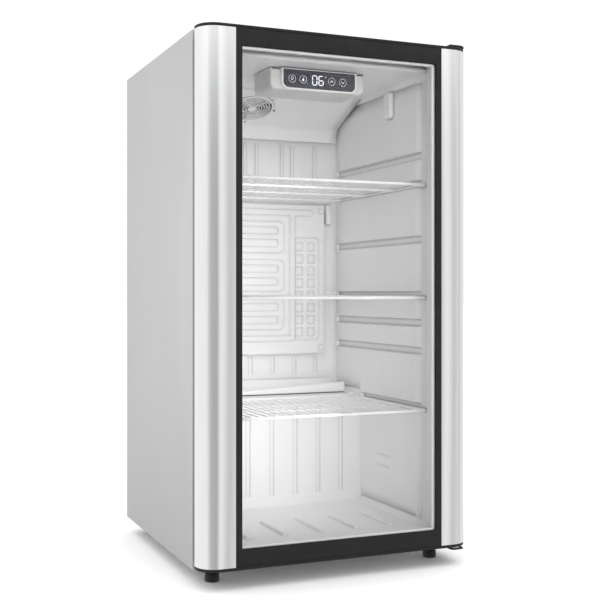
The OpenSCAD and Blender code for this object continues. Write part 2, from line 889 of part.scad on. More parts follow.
module hinge_cover()
    color("black") place() {
        top = door_top + swing + plate_t + 3;
        difference() {
            union() {
                translate([0, 0, door_top + swing]) linear_extrude(top - door_top - swing) cover_plan(0);
                translate([0, 0, cab_top + seat]) linear_extrude(top - cab_top - seat)
                    intersection() {
                        cover_plan(0);
                        rect([0, half_w], [cab_y + 3, overall_d]);
                    }
            }
            translate([0, 0, cab_top - 1]) linear_extrude(top - cab_top - 0.2) cover_plan(1.2);
        }
    }

// Plan of the hinge cover, inset by g, with the front corner rounded like the door's
module cover_plan(g)
    union() {
        x = hinge_x - 17 + g;
        y = hinge_y - 14 + g;
        r = hinge_in - 0.4 - g;
        rect([x, hinge_x], [y, cab_y + 58 - g]);
        rect([x, hinge_x + r], [y + r, cab_y + 58 - g]);
        translate([hinge_x, y + r]) circle(r);
    }

// Feet
module foot_places()
    for (s = [-1, 1], y = foot_y)
        translate([s * foot_x, y, 0]) children();

module foot_inserts()
    color("gray") place() foot_places()
        difference() {
            translate([0, 0, base_z]) cylinder(r = insert_r, h = insert_h);
            translate([0, 0, base_z - 1]) cylinder(r = stem_r + running, h = insert_h + 2);
        }

module foot(s, y)
    color("black") place() translate([s * foot_x, y, 0]) {
        cylinder(r = pad_r, h = 14);
        translate([0, 0, 13.5]) cylinder(r = 8, h = 6, $fn = 6);
        translate([0, 0, 14]) cylinder(r = stem_r, h = base_z + insert_h - 16);
    }

module foot_front_left() foot(-1, foot_y[0]);

module foot_front_right() foot(1, foot_y[0]);

module foot_rear_left() foot(-1, foot_y[1]);

module foot_rear_right() foot(1, foot_y[1]);

// Shelves: a rod frame, two cross rods and the wires on top, with the rear ends turned up
module shelf(k, rear)
    color("white") place() {
        z = rung_z(k) + loose + rod_r;
        w = shelf_w;
        wires = floor((w - 8) / wire_pitch);
        inner_y0 = shelf_front;
        for (s = [-1, 1])
            rod([s * w, inner_y0, z], [s * w, rear, z], rod_r);
        for (y = [inner_y0, rear])
            rod([-w, y, z], [w, y, z], rod_r);
        for (x = [-w, w], y = [inner_y0, rear])
            translate([x, y, z]) sphere(rod_r);
        for (f = [1, 2])
            rod(
                [-w, inner_y0 + (rear - inner_y0) * f / 3, z],
                [w, inner_y0 + (rear - inner_y0) * f / 3, z],
                rod_r * 0.8
            );
        for (i = [-wires : wires])
            rod([i * wire_pitch, inner_y0, z + rod_r], [i * wire_pitch, rear, z + rod_r], wire_r);
    }

module shelf_upper() shelf(upper_rung, channel_rear - 7 - rod_r);

module shelf_middle() shelf(middle_rung, channel_rear - 7 - rod_r);

module shelf_lower() shelf(0, low_rear_y - 7 - rod_r);

// Door
module door_front_frame()
    color([0.19, 0.19, 0.19]) place()
        difference() {
            across(0, inner_y - seat) rect([-frame_x, frame_x], [door_z + cap_t, door_top - cap_t]);
            across(-1, inner_y + 1) rect([-view_x, view_x], [view_z, view_top]);
            across(unit_y, inner_y + 1)
                rect(
                    [-view_x - edge - seat, view_x + edge + seat],
                    [view_z - edge - seat, view_top + edge + seat]
                );
        }

module pillar_left()
    color("silver") place()
        translate([0, 0, door_z + cap_t]) linear_extrude(door_h - 2 * cap_t)
            difference() {
                pillar_plan(-1, 0);
                hollow_plan(-1, 0);
            }

module pillar_right()
    color("silver") place()
        translate([0, 0, door_z + cap_t]) linear_extrude(door_h - 2 * cap_t)
            difference() {
                intersection() {
                    pillar_plan(1, 0);
                    rect([pillar_x, half_w - trim_w], [0, pillar_d]);
                }
                hollow_plan(1, 0);
            }

module hinge_edge_trim()
    color("black") place()
        translate([0, 0, door_z + cap_t]) linear_extrude(door_h - 2 * cap_t)
            intersection() {
                pillar_plan(1, 0);
                rect([half_w - trim_w + seat, half_w], [0, pillar_d]);
            }

module cap_plugs(z)
    difference() {
        translate([0, 0, z])
            linear_extrude(plug_h) {
                hollow_plan(-1, 0.15);
                hollow_plan(1, 0.15);
            }
        translate([hinge_x, hinge_y, z - 1]) cylinder(r = bush_r, h = plug_h + 2);
    }

module door_top_cap()
    color([0.16, 0.16, 0.16]) place() {
        difference() {
            translate([0, 0, door_top - cap_t]) linear_extrude(cap_t) door_plan();
            translate([hinge_x, hinge_y, door_top - cap_t - 1]) cylinder(r = bush_r, h = cap_t + 2);
        }
        cap_plugs(door_top - cap_t - plug_h);
    }

module door_bottom_cap()
    color([0.16, 0.16, 0.16]) place() {
        difference() {
            translate([0, 0, door_z]) linear_extrude(cap_t) door_plan();
            translate([hinge_x, hinge_y, door_z - 1]) cylinder(r = bush_r, h = cap_t + 2);
        }
        cap_plugs(door_z + cap_t);
    }

// Two panes with a spacer that is set in from their edges, sealed as one unit
module glass_unit()
    color([0.85, 0.95, 0.95, 0.3]) place() {
        x = view_x + edge;
        z = [view_z - edge, view_top + edge];
        across(unit_y + seat, unit_y + pane_t) rect([-x, x], z);
        across(unit_y + unit_t - pane_t, unit_y + unit_t) rect([-x, x], z);
        across(unit_y + pane_t, unit_y + unit_t - pane_t) ring(x - 0.5, [z[0] + 0.5, z[1] - 0.5], 5);
    }

module door_inner_frame()
    color("white") place()
        difference() {
            union() {
                across(inner_y, door_t)
                    rect([-frame_x, frame_x], [door_z + cap_t + seat, door_top - cap_t - seat]);
                across(pillar_d + seat, door_t)
                    rect([2 - half_w, half_w - 2], [door_z + cap_t + seat, door_top - cap_t - seat]);
            }
            across(inner_y - 1, door_t + 1) rect([-view_x - 3, view_x + 3], [view_z - 3, view_top + 3]);
        }

module door_gasket()
    color([0.25, 0.25, 0.25]) place() {
        z = [door_z + 8, door_top - 8];
        difference() {
            across(door_t, cab_y - loose) ring(gasket_x, z, gasket_w);
            across(door_t - 1, cab_y - 1.8) ring(gasket_x - 4, [z[0] + 4, z[1] - 4], 10);
        }
    }

module gasket_magnets()
    color("saddlebrown") place() {
        z = [door_z + 12.2, door_top - 12.2];
        across(cab_y - 4.8, cab_y - 1.9) ring(gasket_x - 4.2, z, 9.6);
    }

module hinge_bushes()
    color("ivory") place() translate([hinge_x, hinge_y, 0])
        for (z = [door_z + 0.1, door_top - 20.1])
            translate([0, 0, z])
                difference() {
                    cylinder(r = bush_r, h = 20);
                    translate([0, 0, -1]) cylinder(r = pin_r + running, h = 22);
                }

side_panel_left();
side_panel_right();
top_panel();
back_panel();
base_pan();
bay_panel();
inner_liner();
foam_insulation();
evaporator_plate();
evaporator_standoffs();
drip_gutter();
drain_tube();
evaporation_pan();
fan_cover();
fan_grille();
fan_motor();
control_box();
display_panel();
control_board();
lamp_cover();
lamp_board();
probe_clip();
temperature_probe();
compressor();
compressor_grommets();
compressor_studs();
start_relay();
condenser_tubes();
suction_line();
discharge_line();
filter_drier();
rear_grille();
cord_gland();
hinge_bracket_top();
hinge_bracket_bottom();
hinge_pin_top();
hinge_pin_bottom();
hinge_washer();
hinge_screws();
hinge_cover();
foot_inserts();
foot_front_left();
foot_front_right();
foot_rear_left();
foot_rear_right();
fan_blade();
shelf_upper();
shelf_middle();
shelf_lower();
door_front_frame();
pillar_left();
pillar_right();
door_top_cap();
door_bottom_cap();
hinge_edge_trim();
glass_unit();
door_inner_frame();
door_gasket();
gasket_magnets();
hinge_bushes();
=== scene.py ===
# %% [markdown]
# # A glass-door reach-in refrigerator
# The CAD model gives every part's place and size. This notebook dresses it: pressed sheet, brushed
# aluminium, vacuum-formed plastic and coated wire, each as a surface worked out with numpy.

# %% Load the frame
import math

import bmesh
import bpy
import numpy as np
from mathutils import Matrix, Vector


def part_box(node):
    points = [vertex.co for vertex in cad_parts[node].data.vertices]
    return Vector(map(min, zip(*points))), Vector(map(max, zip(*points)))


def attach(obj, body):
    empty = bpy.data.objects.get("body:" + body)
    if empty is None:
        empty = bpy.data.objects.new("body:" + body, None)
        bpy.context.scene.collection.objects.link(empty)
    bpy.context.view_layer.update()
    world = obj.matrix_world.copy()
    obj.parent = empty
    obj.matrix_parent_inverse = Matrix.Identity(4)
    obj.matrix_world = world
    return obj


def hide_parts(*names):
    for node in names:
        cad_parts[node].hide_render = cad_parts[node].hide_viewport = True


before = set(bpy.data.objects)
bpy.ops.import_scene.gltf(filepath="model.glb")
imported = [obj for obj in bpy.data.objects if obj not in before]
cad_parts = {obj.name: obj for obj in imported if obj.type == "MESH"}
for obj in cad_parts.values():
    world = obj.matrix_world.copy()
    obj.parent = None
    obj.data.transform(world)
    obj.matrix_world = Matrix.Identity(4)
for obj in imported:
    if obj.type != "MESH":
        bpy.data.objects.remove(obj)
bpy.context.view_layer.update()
print("CAD nodes:", len(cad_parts))

# %% [markdown]
# ## Sizes
# The makers of such cabinets work in millimetres from the door's front face, so this notebook does
# too: x across, y from the door's face to the rear, z up from the floor. `place` turns that into metres
# in the frame. Everything is read from the CAD boxes, so the looks follow the design.

# %% Sizes read from the frame
MM = 0.001
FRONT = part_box("door_front_frame")[0][1]


def place(points):
    """Millimetres from the door's face to metres in the frame: scale by 1/1000, then add the face's y."""
    return np.asarray(points, float) * MM + np.array([0, FRONT, 0])


def sizes(name):
    """A CAD node's lowest and highest corner in millimetres, with y counted from the door's face."""
    low, high = (np.array(corner[:]) - np.array([0, FRONT, 0]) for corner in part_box(name))
    return low / MM, high / MM


LINER_LOW, LINER_HIGH = sizes("inner_liner")
LIP, LINER_T, POCKET = 8, 2, 8
MOUTH_W = LINER_HIGH[0] - LIP
BODY_W = MOUTH_W - POCKET
FLOOR_Z, ROOF_Z = LINER_LOW[2] + LIP, LINER_HIGH[2] - LIP
MOUTH_Y, REAR_Y = LINER_LOW[1], LINER_HIGH[1] - LINER_T
LOW_REAR_Y = sizes("shelf_lower")[1][1] + 7
LEDGE_Z = sizes("drip_gutter")[0][2] - 1
HALF_W = sizes("side_panel_right")[1][0]
print(f"food space {2 * BODY_W:.0f} x {REAR_Y - MOUTH_Y:.0f} x {ROOF_Z - FLOOR_Z:.0f} mm")

# %% [markdown]
# ## Camera, light and floor
# White goods are shown in a white tent: light comes evenly from everywhere, one large soft box stands
# in front, and the floor fades into the background. Darker cards beside the lens give the curved metal
# its soft bands, and a second soft light just inside the mouth fills the food space. Where the camera
# looks straight at the tent it is plain white. Both lights and the floor are kept out of reflections,
# so the metal shows only the cards and the cabinet itself. The view transform is plain, so that white
# stays white.

# %% Camera
scene = bpy.context.scene
camera = bpy.data.objects.new("camera", bpy.data.cameras.new("camera"))
scene.collection.objects.link(camera)
camera.location = (-0.7122, -1.7432, 0.4522)
camera.rotation_euler = (math.radians(90), 0, math.radians(-22.92))
camera.data.lens = 63.23
camera.data.sensor_width = 36
camera.data.shift_y = -0.0121
scene.camera = camera
scene.view_settings.view_transform = "Standard"

# %% Shader helpers
def linear(code):
    """sRGB hex to linear red, green, blue: c/12.92 under 0.04045, else ((c + 0.055)/1.055)^2.4."""
    c = np.array([int(code[i:i + 2], 16) for i in (1, 3, 5)]) / 255
    rgb = np.where(c <= 0.04045, c / 12.92, ((c + 0.055) / 1.055) ** 2.4)
    return (*rgb.tolist(), 1.0)


def add(tree, kind, inputs=None, **settings):
    """Adds one shader node: settings are its properties, inputs its sockets' values or links."""
    node = tree.nodes.new("ShaderNode" + kind)
    for key, value in settings.items():
        setattr(node, key, value)
    for key, value in (inputs or {}).items():
        if isinstance(value, bpy.types.NodeSocket):
            tree.links.new(value, node.inputs[key])
        else:
            node.inputs[key].default_value = value
    return node


# %% World
# The cards stand round the cabinet: (degrees from straight in front, positive to the right; brightness).
TENT = (
    (-180, 1.08), (-64, 1.06), (-40, 0.56), (4, 0.5), (12, 1.08), (23, 1.08),
    (31, 0.55), (45, 0.85), (75, 0.75), (115, 1.08))
CEILING, BACKDROP = (1.6, 1.6, 1.6, 1), (1.08, 1.08, 1.08, 1)
world = bpy.data.worlds.new("white_tent")
scene.world = world
world.use_nodes = True
sky = world.node_tree
split = add(sky, "SeparateXYZ", {"Vector": add(sky, "TexCoord").outputs["Generated"]})
flip = add(sky, "Math", {0: split.outputs["Y"], 1: -1.0}, operation="MULTIPLY")
turn = add(sky, "Math", {0: split.outputs["X"], 1: flip.outputs[0]}, operation="ARCTAN2")
share = add(sky, "MapRange", {"Value": turn.outputs[0], "From Min": -math.pi, "From Max": math.pi})
cards = add(sky, "ValToRGB", {"Fac": share.outputs["Result"]})
rise = add(sky, "MapRange", {"Value": split.outputs["Z"], "From Min": 0.35, "From Max": 0.85},
    interpolation_type="SMOOTHSTEP")
blend = add(sky, "Mix", data_type="RGBA")
shown = add(sky, "Mix", data_type="RGBA")
blend.inputs["B"].default_value, shown.inputs["B"].default_value = CEILING, BACKDROP
sky.links.new(rise.outputs["Result"], blend.inputs["Factor"])
sky.links.new(cards.outputs["Color"], blend.inputs["A"])
sky.links.new(add(sky, "LightPath").outputs["Is Camera Ray"], shown.inputs["Factor"])
sky.links.new(blend.outputs["Result"], shown.inputs["A"])
sky.links.new(shown.outputs["Result"], sky.nodes["Background"].inputs["Color"])
ramp = cards.color_ramp
while len(ramp.elements) < len(TENT):
    ramp.elements.new(0.5)
for element, (degrees, level) in zip(ramp.elements, TENT):
    element.position = degrees / 360 + 0.5
    element.color = (level, level, level, 1)
print("cards in the tent:", len(TENT))


# %% Soft boxes
def soft_box(name, at, aim, size, watts):
    """A square area light at one point, turned to look at another."""
    light = bpy.data.lights.new(name, "AREA")
    light.size = size
    light.energy = watts
    lamp = bpy.data.objects.new(name, light)
    lamp.location = at
    toward = np.array(aim) - np.array(at)
    flat = math.hypot(toward[0], toward[1])
    lamp.rotation_euler = (math.atan2(flat, -toward[2]), 0, math.atan2(-toward[0], toward[1]))
    scene.collection.objects.link(lamp)
    return lamp


front_box = soft_box("front_box", (-0.35, -2.6, 0.95), (0, 0.1, 0.42), 1.5, 20)
front_box.visible_glossy = False
fill = soft_box("food_space_fill", (-0.06, FRONT + 0.062, 0.44), (-0.02, 1, 0.4), 0.16, 0.36)
fill.data.shape, fill.data.size_y, fill.data.spread = "RECTANGLE", 0.6, math.radians(110)
fill.visible_camera = fill.visible_glossy = False

# %% [markdown]
# ## Materials
# Each material is named for what the real one is and how it was made. Colours are written the way a
# paint shop would, as sRGB hex values, and one function turns them to the linear values that light
# works in. Patterns use the object's own coordinates in metres, so their scales come from real sizes.

# %% Material helpers
def base(name, colour, roughness, metallic=0.0, **sockets):
    """A Principled material with plain values, ready for patterns to be linked in."""
    made = bpy.data.materials.new(name)
    made.use_nodes = True
    tree = made.node_tree
    shader = tree.nodes["Principled BSDF"]
    shader.inputs["Base Color"].default_value = linear(colour)
    shader.inputs["Roughness"].default_value = roughness
    shader.inputs["Metallic"].default_value = metallic
    for key, value in sockets.items():
        shader.inputs[key.replace("_", " ").title().replace("Ior", "IOR")].default_value = value
    return made, tree, shader


def noise_field(tree, size_mm, stretch, detail):
    """Noise on the object's own coordinates: blotches of the given size, drawn out where stretch is
    under 1."""
    where = add(tree, "TexCoord").outputs["Object"]
    scaled = add(tree, "Mapping", {"Vector": where, "Scale": stretch})
    return add(tree, "TexNoise",
        {"Vector": scaled.outputs[0], "Scale": 1000 / size_mm, "Detail": detail}).outputs["Fac"]


def mottled(tree, shader, low, high, size_mm, stretch=(1, 1, 1), detail=3.0):
    """Links a colour that wanders between two near shades, with blotches of the given size."""
    ramp = add(tree, "ValToRGB", {"Fac": noise_field(tree, size_mm, stretch, detail)})
    for element, position, shade in zip(ramp.color_ramp.elements, (0.3, 0.7), (low, high)):
        element.position, element.color = position, linear(shade)
    tree.links.new(ramp.outputs["Color"], shader.inputs["Base Color"])


def grained(tree, shader, size_mm, depth_mm, rough=None, stretch=(1, 1, 1), strength=0.5):
    """Links a fine bump of the given grain size and depth, and a roughness range if one is given."""
    fac = noise_field(tree, size_mm, stretch, 2.0)
    bump = add(tree, "Bump", {"Height": fac, "Distance": depth_mm * MM, "Strength": strength})
    tree.links.new(bump.outputs["Normal"], shader.inputs["Normal"])
    if rough:
        spread = add(tree, "MapRange", {"Value": fac, "To Min": rough[0], "To Max": rough[1]})
        tree.links.new(spread.outputs["Result"], shader.inputs["Roughness"])


def paint_shade_in_creases(tree, shader, reach_mm=5, darkest=0.55):
    """Painted shade: darkens the colour in tight corners by ambient occlusion, so that shallow relief
    reads:
    while the share of open space within the reach runs from half to whole, the colour's factor runs from
    the darkest to 1."""
    colour = shader.inputs["Base Color"].links[0].from_socket
    space = add(tree, "AmbientOcclusion", {"Distance": reach_mm * MM})
    factor = add(tree, "MapRange", {"Value": space.outputs["AO"], "From Min": 0.5, "To Min": darkest})
    shaded = add(tree, "VectorMath", {0: colour}, operation="SCALE")
    tree.links.new(factor.outputs["Result"], shaded.inputs["Scale"])
    tree.links.new(shaded.outputs["Vector"], shader.inputs["Base Color"])


def finish(name, colour, roughness, patches, grain, metallic=0.0, streak=(1, 1, 1), painted_crease_shade=False,
        detail=3.0, grain_streak=(1, 1, 1), strength=0.5, **sockets):
    """A whole material: patches are two shades and a size in mm, grain is a size and a depth in mm and
    a roughness range, and streaks draw either of them out."""
    made, tree, shader = base(name, colour, roughness, metallic, **sockets)
    mottled(tree, shader, *patches, stretch=streak, detail=detail)
    if grain:
        grained(tree, shader, *grain, stretch=grain_streak, strength=strength)
    # Painted shade in tight corners, darkened by ambient occlusion, where asked for.
    if painted_crease_shade:
        paint_shade_in_creases(tree, shader)
    return made


# %% [markdown]
# The outer cabinet is sheet steel with a baked grey powder coat. Powder flows out into a faint orange
# peel of a few millimetres, which breaks up reflections.

# %% Powder-coated steel
POWDER_COAT = finish("powder_coated_steel_grey", "#AFAFAF", 0.5, ("#AEAEAE", "#B1B1B1", 180),
    (2.5, 0.05, (0.38, 0.46)))

# %% [markdown]
# Hidden sheets are hot-dip galvanised. The zinc freezes into flat crystals, the spangle, about a
# centimetre across, each with its own grey.

# %% Galvanised steel
GALVANISED, tree, shader = base("galvanised_steel_spangle", "#A9ADB0", 0.4, 0.85)
where = add(tree, "TexCoord").outputs["Object"]
cells = add(tree, "TexVoronoi", {"Vector": where, "Scale": 130.0})
shade = add(tree, "ValToRGB", {"Fac": cells.outputs["Color"]})
shade.color_ramp.elements[0].color = linear("#A4A8AA")
shade.color_ramp.elements[1].color = linear("#B6BABC")
tree.links.new(shade.outputs["Color"], shader.inputs["Base Color"])
grained(tree, shader, 6, 0.03, (0.32, 0.5))

# %% [markdown]
# The inner liner is one sheet of white polystyrene, drawn by vacuum over a mould. Its face is smooth
# with a soft gloss. Its creases get painted shade, darkened by ambient occlusion, so that its shallow
# grooves read. The other pale mouldings are injection moulded and a little glossier.

# %% White and pale plastics
LINER_PS = finish("polystyrene_vacuum_formed_white", "#F4F4F4", 0.38, ("#F2F2F2", "#F6F6F6", 120),
    (1.2, 0.02, (0.34, 0.42)), painted_crease_shade=True)
WHITE_ABS = finish("abs_injection_moulded_white", "#F6F6F6", 0.3, ("#F4F4F4", "#F8F8F8", 60),
    (0.8, 0.015, (0.26, 0.34)))
GREY_ABS = finish("abs_injection_moulded_pale_grey", "#D6D6D6", 0.34, ("#D3D3D3", "#D9D9D9", 60),
    (0.8, 0.015, (0.3, 0.38)))

# %% [markdown]
# The door's frame and caps are black ABS with a fine spark-eroded grain, so that fingerprints hide.

# %% Black mouldings
BLACK_ABS = finish("abs_injection_moulded_black", "#1A1A1A", 0.5, ("#181818", "#1D1D1D", 25),
    (0.7, 0.04, (0.42, 0.55)), specular_ior_level=0.25)
RUBBER = finish("rubber_moulded_black", "#1C1C1C", 0.7, ("#181818", "#222222", 8),
    (0.6, 0.05, (0.62, 0.8)))
GASKET_PVC = finish("pvc_extruded_gasket_black", "#242424", 0.55, ("#202020", "#292929", 30),
    (1.0, 0.03, (0.48, 0.62)), streak=(1, 1, 0.2))

# %% [markdown]
# The pillars are extruded aluminium, brushed along their length and clear anodised. The brush leaves
# scratches some tenths of a millimetre wide and many centimetres long. They are drawn about a
# millimetre wide here, because finer ones would vanish at this distance. The evaporator is roll-bonded
# aluminium with a white coat: two sheets are rolled into one, and the printed channels between them
# are blown up. Rolling leaves faint streaks along the sheet.

# %% Metals
ACROSS = (0.1, 1, 1)
BRUSHED = finish("aluminium_extruded_brushed_anodised", "#E4E5E6", 0.22, ("#E2E3E4", "#EAEAEB", 1.2),
    (0.9, 0.004, (0.2, 0.26)), 1.0, streak=(1, 1, 0.01), detail=4.0, grain_streak=(1, 1, 0.008),
    strength=0.1)
# Painted shade darkens the evaporator's creases by ambient occlusion, so that its channels read.
ROLLED = finish("aluminium_roll_bonded_white_coat", "#F0F0F0", 0.4, ("#EDEDED", "#F3F3F3", 14),
    (2.0, 0.03, (0.34, 0.46)), streak=ACROSS, grain_streak=ACROSS, painted_crease_shade=True)
ZINC = finish("steel_zinc_plated", "#C3C4BE", 0.32, ("#B4B5AE", "#CFCFCB", 5),
    (0.8, 0.02, (0.26, 0.4)), 1.0)
COPPER = finish("copper_drawn_tube", "#C77B58", 0.3, ("#A8603F", "#D48B66", 9),
    (1.5, 0.02, (0.24, 0.42)), 1.0)
ENAMEL = finish("steel_black_stoved_enamel", "#161616", 0.3, ("#121212", "#1B1B1B", 20),
    (2.0, 0.04, (0.26, 0.4)))
STAINLESS = finish("stainless_steel_drawn", "#BFC0C2", 0.28, ("#B2B3B5", "#CBCCCD", 3),
    (0.6, 0.01, (0.22, 0.34)), 1.0, streak=(1, 1, 0.1))

# %% [markdown]
# Shelves are welded steel wire, dipped in white plastic. The coat rounds every weld and has a low gloss.

# %% Coats, plastics and foam
COATED_WIRE = finish("steel_wire_white_dip_coat", "#F7F7F7", 0.28, ("#F4F4F4", "#FAFAFA", 15),
    (2.0, 0.03, (0.24, 0.34)))
NYLON = finish("nylon_natural_moulded", "#E9E5D8", 0.45, ("#E4DFD0", "#EFECE2", 6),
    (0.8, 0.02, (0.4, 0.52)))
FERRITE = finish("ferrite_rubber_magnet", "#3A2C26", 0.7, ("#332621", "#43342D", 4),
    (0.5, 0.03, (0.65, 0.8)))
FOAM = finish("polyurethane_foamed_in_place", "#E6D7A3", 0.85, ("#DCCB92", "#EFE3B8", 12),
    (1.2, 0.3, (0.8, 0.95)), strength=0.8)
CIRCUIT = finish("fibreglass_circuit_board", "#1F5B36", 0.35, ("#174A2B", "#2A6E44", 2.5),
    (1.0, 0.05, (0.3, 0.42)), detail=1.0)
DIFFUSER = finish("polycarbonate_frosted_moulded", "#F8F8F6", 0.35, ("#F4F4F2", "#FCFCFA", 10),
    (1.0, 0.04, (0.3, 0.4)))

# %% [markdown]
# The control panel is smoked acrylic over the display. Its signs are lit from behind.

# %% Display materials
SMOKED = finish("acrylic_smoked_panel", "#45454D", 0.16, ("#43434B", "#484850", 25),
    (3.0, 0.005, (0.12, 0.2)))
LIT = finish("display_light_white", "#F4F8FF", 0.4, ("#F0F4FC", "#FAFCFF", 3), None,
    emission_color=linear("#F4F8FF"), emission_strength=0.9)

# %% [markdown]
# Float glass is nearly clear: it shows what is behind it and reflects a few percent at a right angle,
# more at a glance. Two thin shaders say exactly that, and let the lamps' light through.

# %% Glass
GLASS = bpy.data.materials.new("float_glass_clear")
GLASS.use_nodes = True
tree = GLASS.node_tree
tree.nodes.remove(tree.nodes["Principled BSDF"])
where = add(tree, "TexCoord").outputs["Object"]
ripple = add(tree, "TexNoise", {"Vector": where, "Scale": 6.0, "Detail": 0.0})
wave = add(tree, "Bump", {"Height": ripple.outputs["Fac"], "Distance": 0.0002, "Strength": 0.2})
clear = add(tree, "BsdfTransparent", {"Color": linear("#FFFFFF")})
shine = add(tree, "BsdfGlossy", {"Color": (1, 1, 1, 1), "Roughness": 0.02,
    "Normal": wave.outputs["Normal"]})
share = add(tree, "Fresnel", {"IOR": 1.15})
mixed = add(tree, "MixShader", {0: share.outputs["Fac"], 1: clear.outputs[0], 2: shine.outputs[0]})
tree.links.new(mixed.outputs[0], tree.nodes["Material Output"].inputs["Surface"])

# %% [markdown]
# ## Floor
# The floor is a pale paper sweep, far larger than the cabinet.

# %% Floor
PAPER, tree, shader = base("paper_sweep_white", "#FFFFFF", 0.9)
grained(tree, shader, 3.0, 0.02, strength=0.1)
FAR = 30
paper = bpy.data.meshes.new("paper_sweep")
paper.from_pydata([(-FAR, -FAR, 0), (FAR, -FAR, 0), (FAR, FAR, 0), (-FAR, FAR, 0)], [], [(0, 1, 2, 3)])
paper.materials.append(PAPER)
floor = bpy.data.objects.new("paper_sweep", paper)
scene.collection.objects.link(floor)
floor.visible_glossy = False

# %% [markdown]
# ## Mesh helpers
# Every shape below is a grid of points or a profile carried along a path. `grid` turns rows of points
# into faces, `piece` joins such parts into one object, closes their seams and puts it on its CAD body.

# %% Grids and pieces
def grid(rows, wrap_rows=False, wrap_columns=False):
    """Points (n, m, 3) to vertices and quads: each quad joins point (i, j) to its next row and column."""
    rows = np.asarray(rows, float)
    n, m = rows.shape[:2]
    i = np.arange(n if wrap_rows else n - 1)[:, None]
    j = np.arange(m if wrap_columns else m - 1)[None, :]
    i2, j2 = (i + 1) % n, (j + 1) % m
    quads = np.stack([i * m + j, i * m + j2, i2 * m + j2, i2 * m + j], axis=-1)
    return rows.reshape(-1, 3), quads.reshape(-1, 4).tolist()


def join(parts):
    """Several (vertices, faces) as one: each part's face numbers are raised by the vertices before it."""
    points, faces, count = [], [], 0
    for vertices, quads in parts:
        points.append(vertices)
        faces += [[k + count for k in quad] for quad in quads]
        count += len(vertices)
    return np.concatenate(points), faces


def piece(name, parts, material, body, nodes=(), recalc=True, sharp=35, wall=0.0, weld=0.01):
    """Joins parts given in millimetres, merges doubled points, sets smooth and sharp edges, and rides."""
    points, faces = join(parts)
    mesh = bpy.data.meshes.new(name)
    mesh.from_pydata(place(points).tolist(), [], faces)
    shape = bmesh.new()
    shape.from_mesh(mesh)
    bmesh.ops.remove_doubles(shape, verts=shape.verts, dist=weld * MM)
    bmesh.ops.dissolve_degenerate(shape, edges=shape.edges, dist=weld * MM)
    if recalc:
        bmesh.ops.recalc_face_normals(shape, faces=shape.faces)
    shape.to_mesh(mesh)
    shape.free()
    mesh.polygons.foreach_set("use_smooth", np.ones(len(mesh.polygons), bool))
    mesh.set_sharp_from_angle(angle=math.radians(sharp))
    mesh.materials.append(material)
    thing = bpy.data.objects.new(name, mesh)
    scene.collection.objects.link(thing)
    if wall:
        solid = thing.modifiers.new("wall", "SOLIDIFY")
        solid.thickness = abs(wall) * MM
        solid.offset = math.copysign(1, wall)
    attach(thing, body)
    if nodes:
        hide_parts(*nodes)
    print(f"{name}: {len(mesh.polygons)} faces")
    return thing


def facing(part, direction):
    """Turns an open part's faces round where the sum of its faces' area vectors points away from the
    direction; a quad's area vector is half the cross product of its diagonals."""
    vertices, faces = part
    quads = np.array([face for face in faces if len(face) == 4])
    corners = vertices[quads]
    area = np.cross(corners[:, 2] - corners[:, 0], corners[:, 3] - corners[:, 1]).sum(axis=0)
    return part if area @ np.array(direction) > 0 else (vertices, [face[::-1] for face in faces])


# %% Profiles
def unit(vectors):
    """Vectors of length 1: each row divided by its length. A row of no length stays as it is."""
    return vectors / np.maximum(np.linalg.norm(vectors, axis=1, keepdims=True), 1e-9)


def eased(before, corner, after, radius, steps):
    """Corners replaced by curves B(s) = (1-s)^2 A + 2s(1-s) P + s^2 C, where P is the corner, and A and C
    lie one radius from it towards the points before and after."""
    a, c = corner + unit(before - corner) * radius, corner + unit(after - corner) * radius
    s = np.linspace(0, 1, steps + 1)[None, :, None]
    curve = (1 - s) ** 2 * a[:, None] + 2 * s * (1 - s) * corner[:, None] + s ** 2 * c[:, None]
    return curve.reshape(-1, corner.shape[1])


def rounded(corners, radius, steps=4):
    """A closed outline or path with every corner eased."""
    p = np.asarray(corners, float)
    r = np.broadcast_to(np.asarray(radius, float), (len(p),))[:, None]
    return eased(np.roll(p, 1, axis=0), p, np.roll(p, -1, axis=0), r, steps)


def softened(corners, radius, steps):
    """An open path with every corner between its ends eased."""
    p = np.asarray(corners, float)
    return np.concatenate([p[:1], eased(p[:-2], p[1:-1], p[2:], radius, steps), p[-1:]])


def end_caps(ring, total):
    """Faces over the first and the last ring of a sweep."""
    return [list(range(ring)), list(range(total - ring, total))]


def arc_rect(half_x, z, r, steps=8):
    """A rounded rectangle in x and z: quarter circles of radius r about the four inner corners."""
    turn = np.radians(np.linspace(0, 90, steps + 1))
    quarter = np.stack([np.cos(turn), np.sin(turn)], axis=-1) * r
    spin = [np.array([[c, s], [-s, c]]) for c, s in ((1, 0), (0, 1), (-1, 0), (0, -1))]
    x, low, high = half_x - r, z[0] + r, z[1] - r
    middle = [(x, high), (-x, high), (-x, low), (x, low)]
    return np.concatenate([quarter @ m + c for m, c in zip(spin, middle)])


def bar(outline, low, high, axis, bevel=0.6, steps=2):
    """A closed outline carried along an axis (0 x, 1 y, 2 z), with both ends' edges eased by the bevel:
    the outline shrinks towards its middle by the bevel while the end is approached on a quarter circle."""
    outline = np.asarray(outline, float)
    side = unit(np.roll(outline, -1, axis=0) - outline) + unit(outline - np.roll(outline, 1, axis=0))
    x, z = outline.T
    turning = np.sum(x * np.roll(z, -1) - z * np.roll(x, -1))
    inward = unit(np.stack([-side[:, 1], side[:, 0]], axis=-1)) * np.sign(turning)
    turn = np.radians(np.linspace(90, 0, steps + 1)) if bevel else np.array([0.0])
    inset, ease = bevel * (1 - np.cos(turn)), bevel * (1 - np.sin(turn))
    inset = np.concatenate([inset, inset[::-1]])
    along = np.concatenate([low + ease, high - ease[::-1]])
    flat = outline[None] + inward[None] * inset[:, None, None]
    rows = np.insert(flat, axis, along[:, None], axis=2)
    vertices, faces = grid(rows, wrap_columns=True)
    return vertices, faces + end_caps(len(outline), len(vertices))


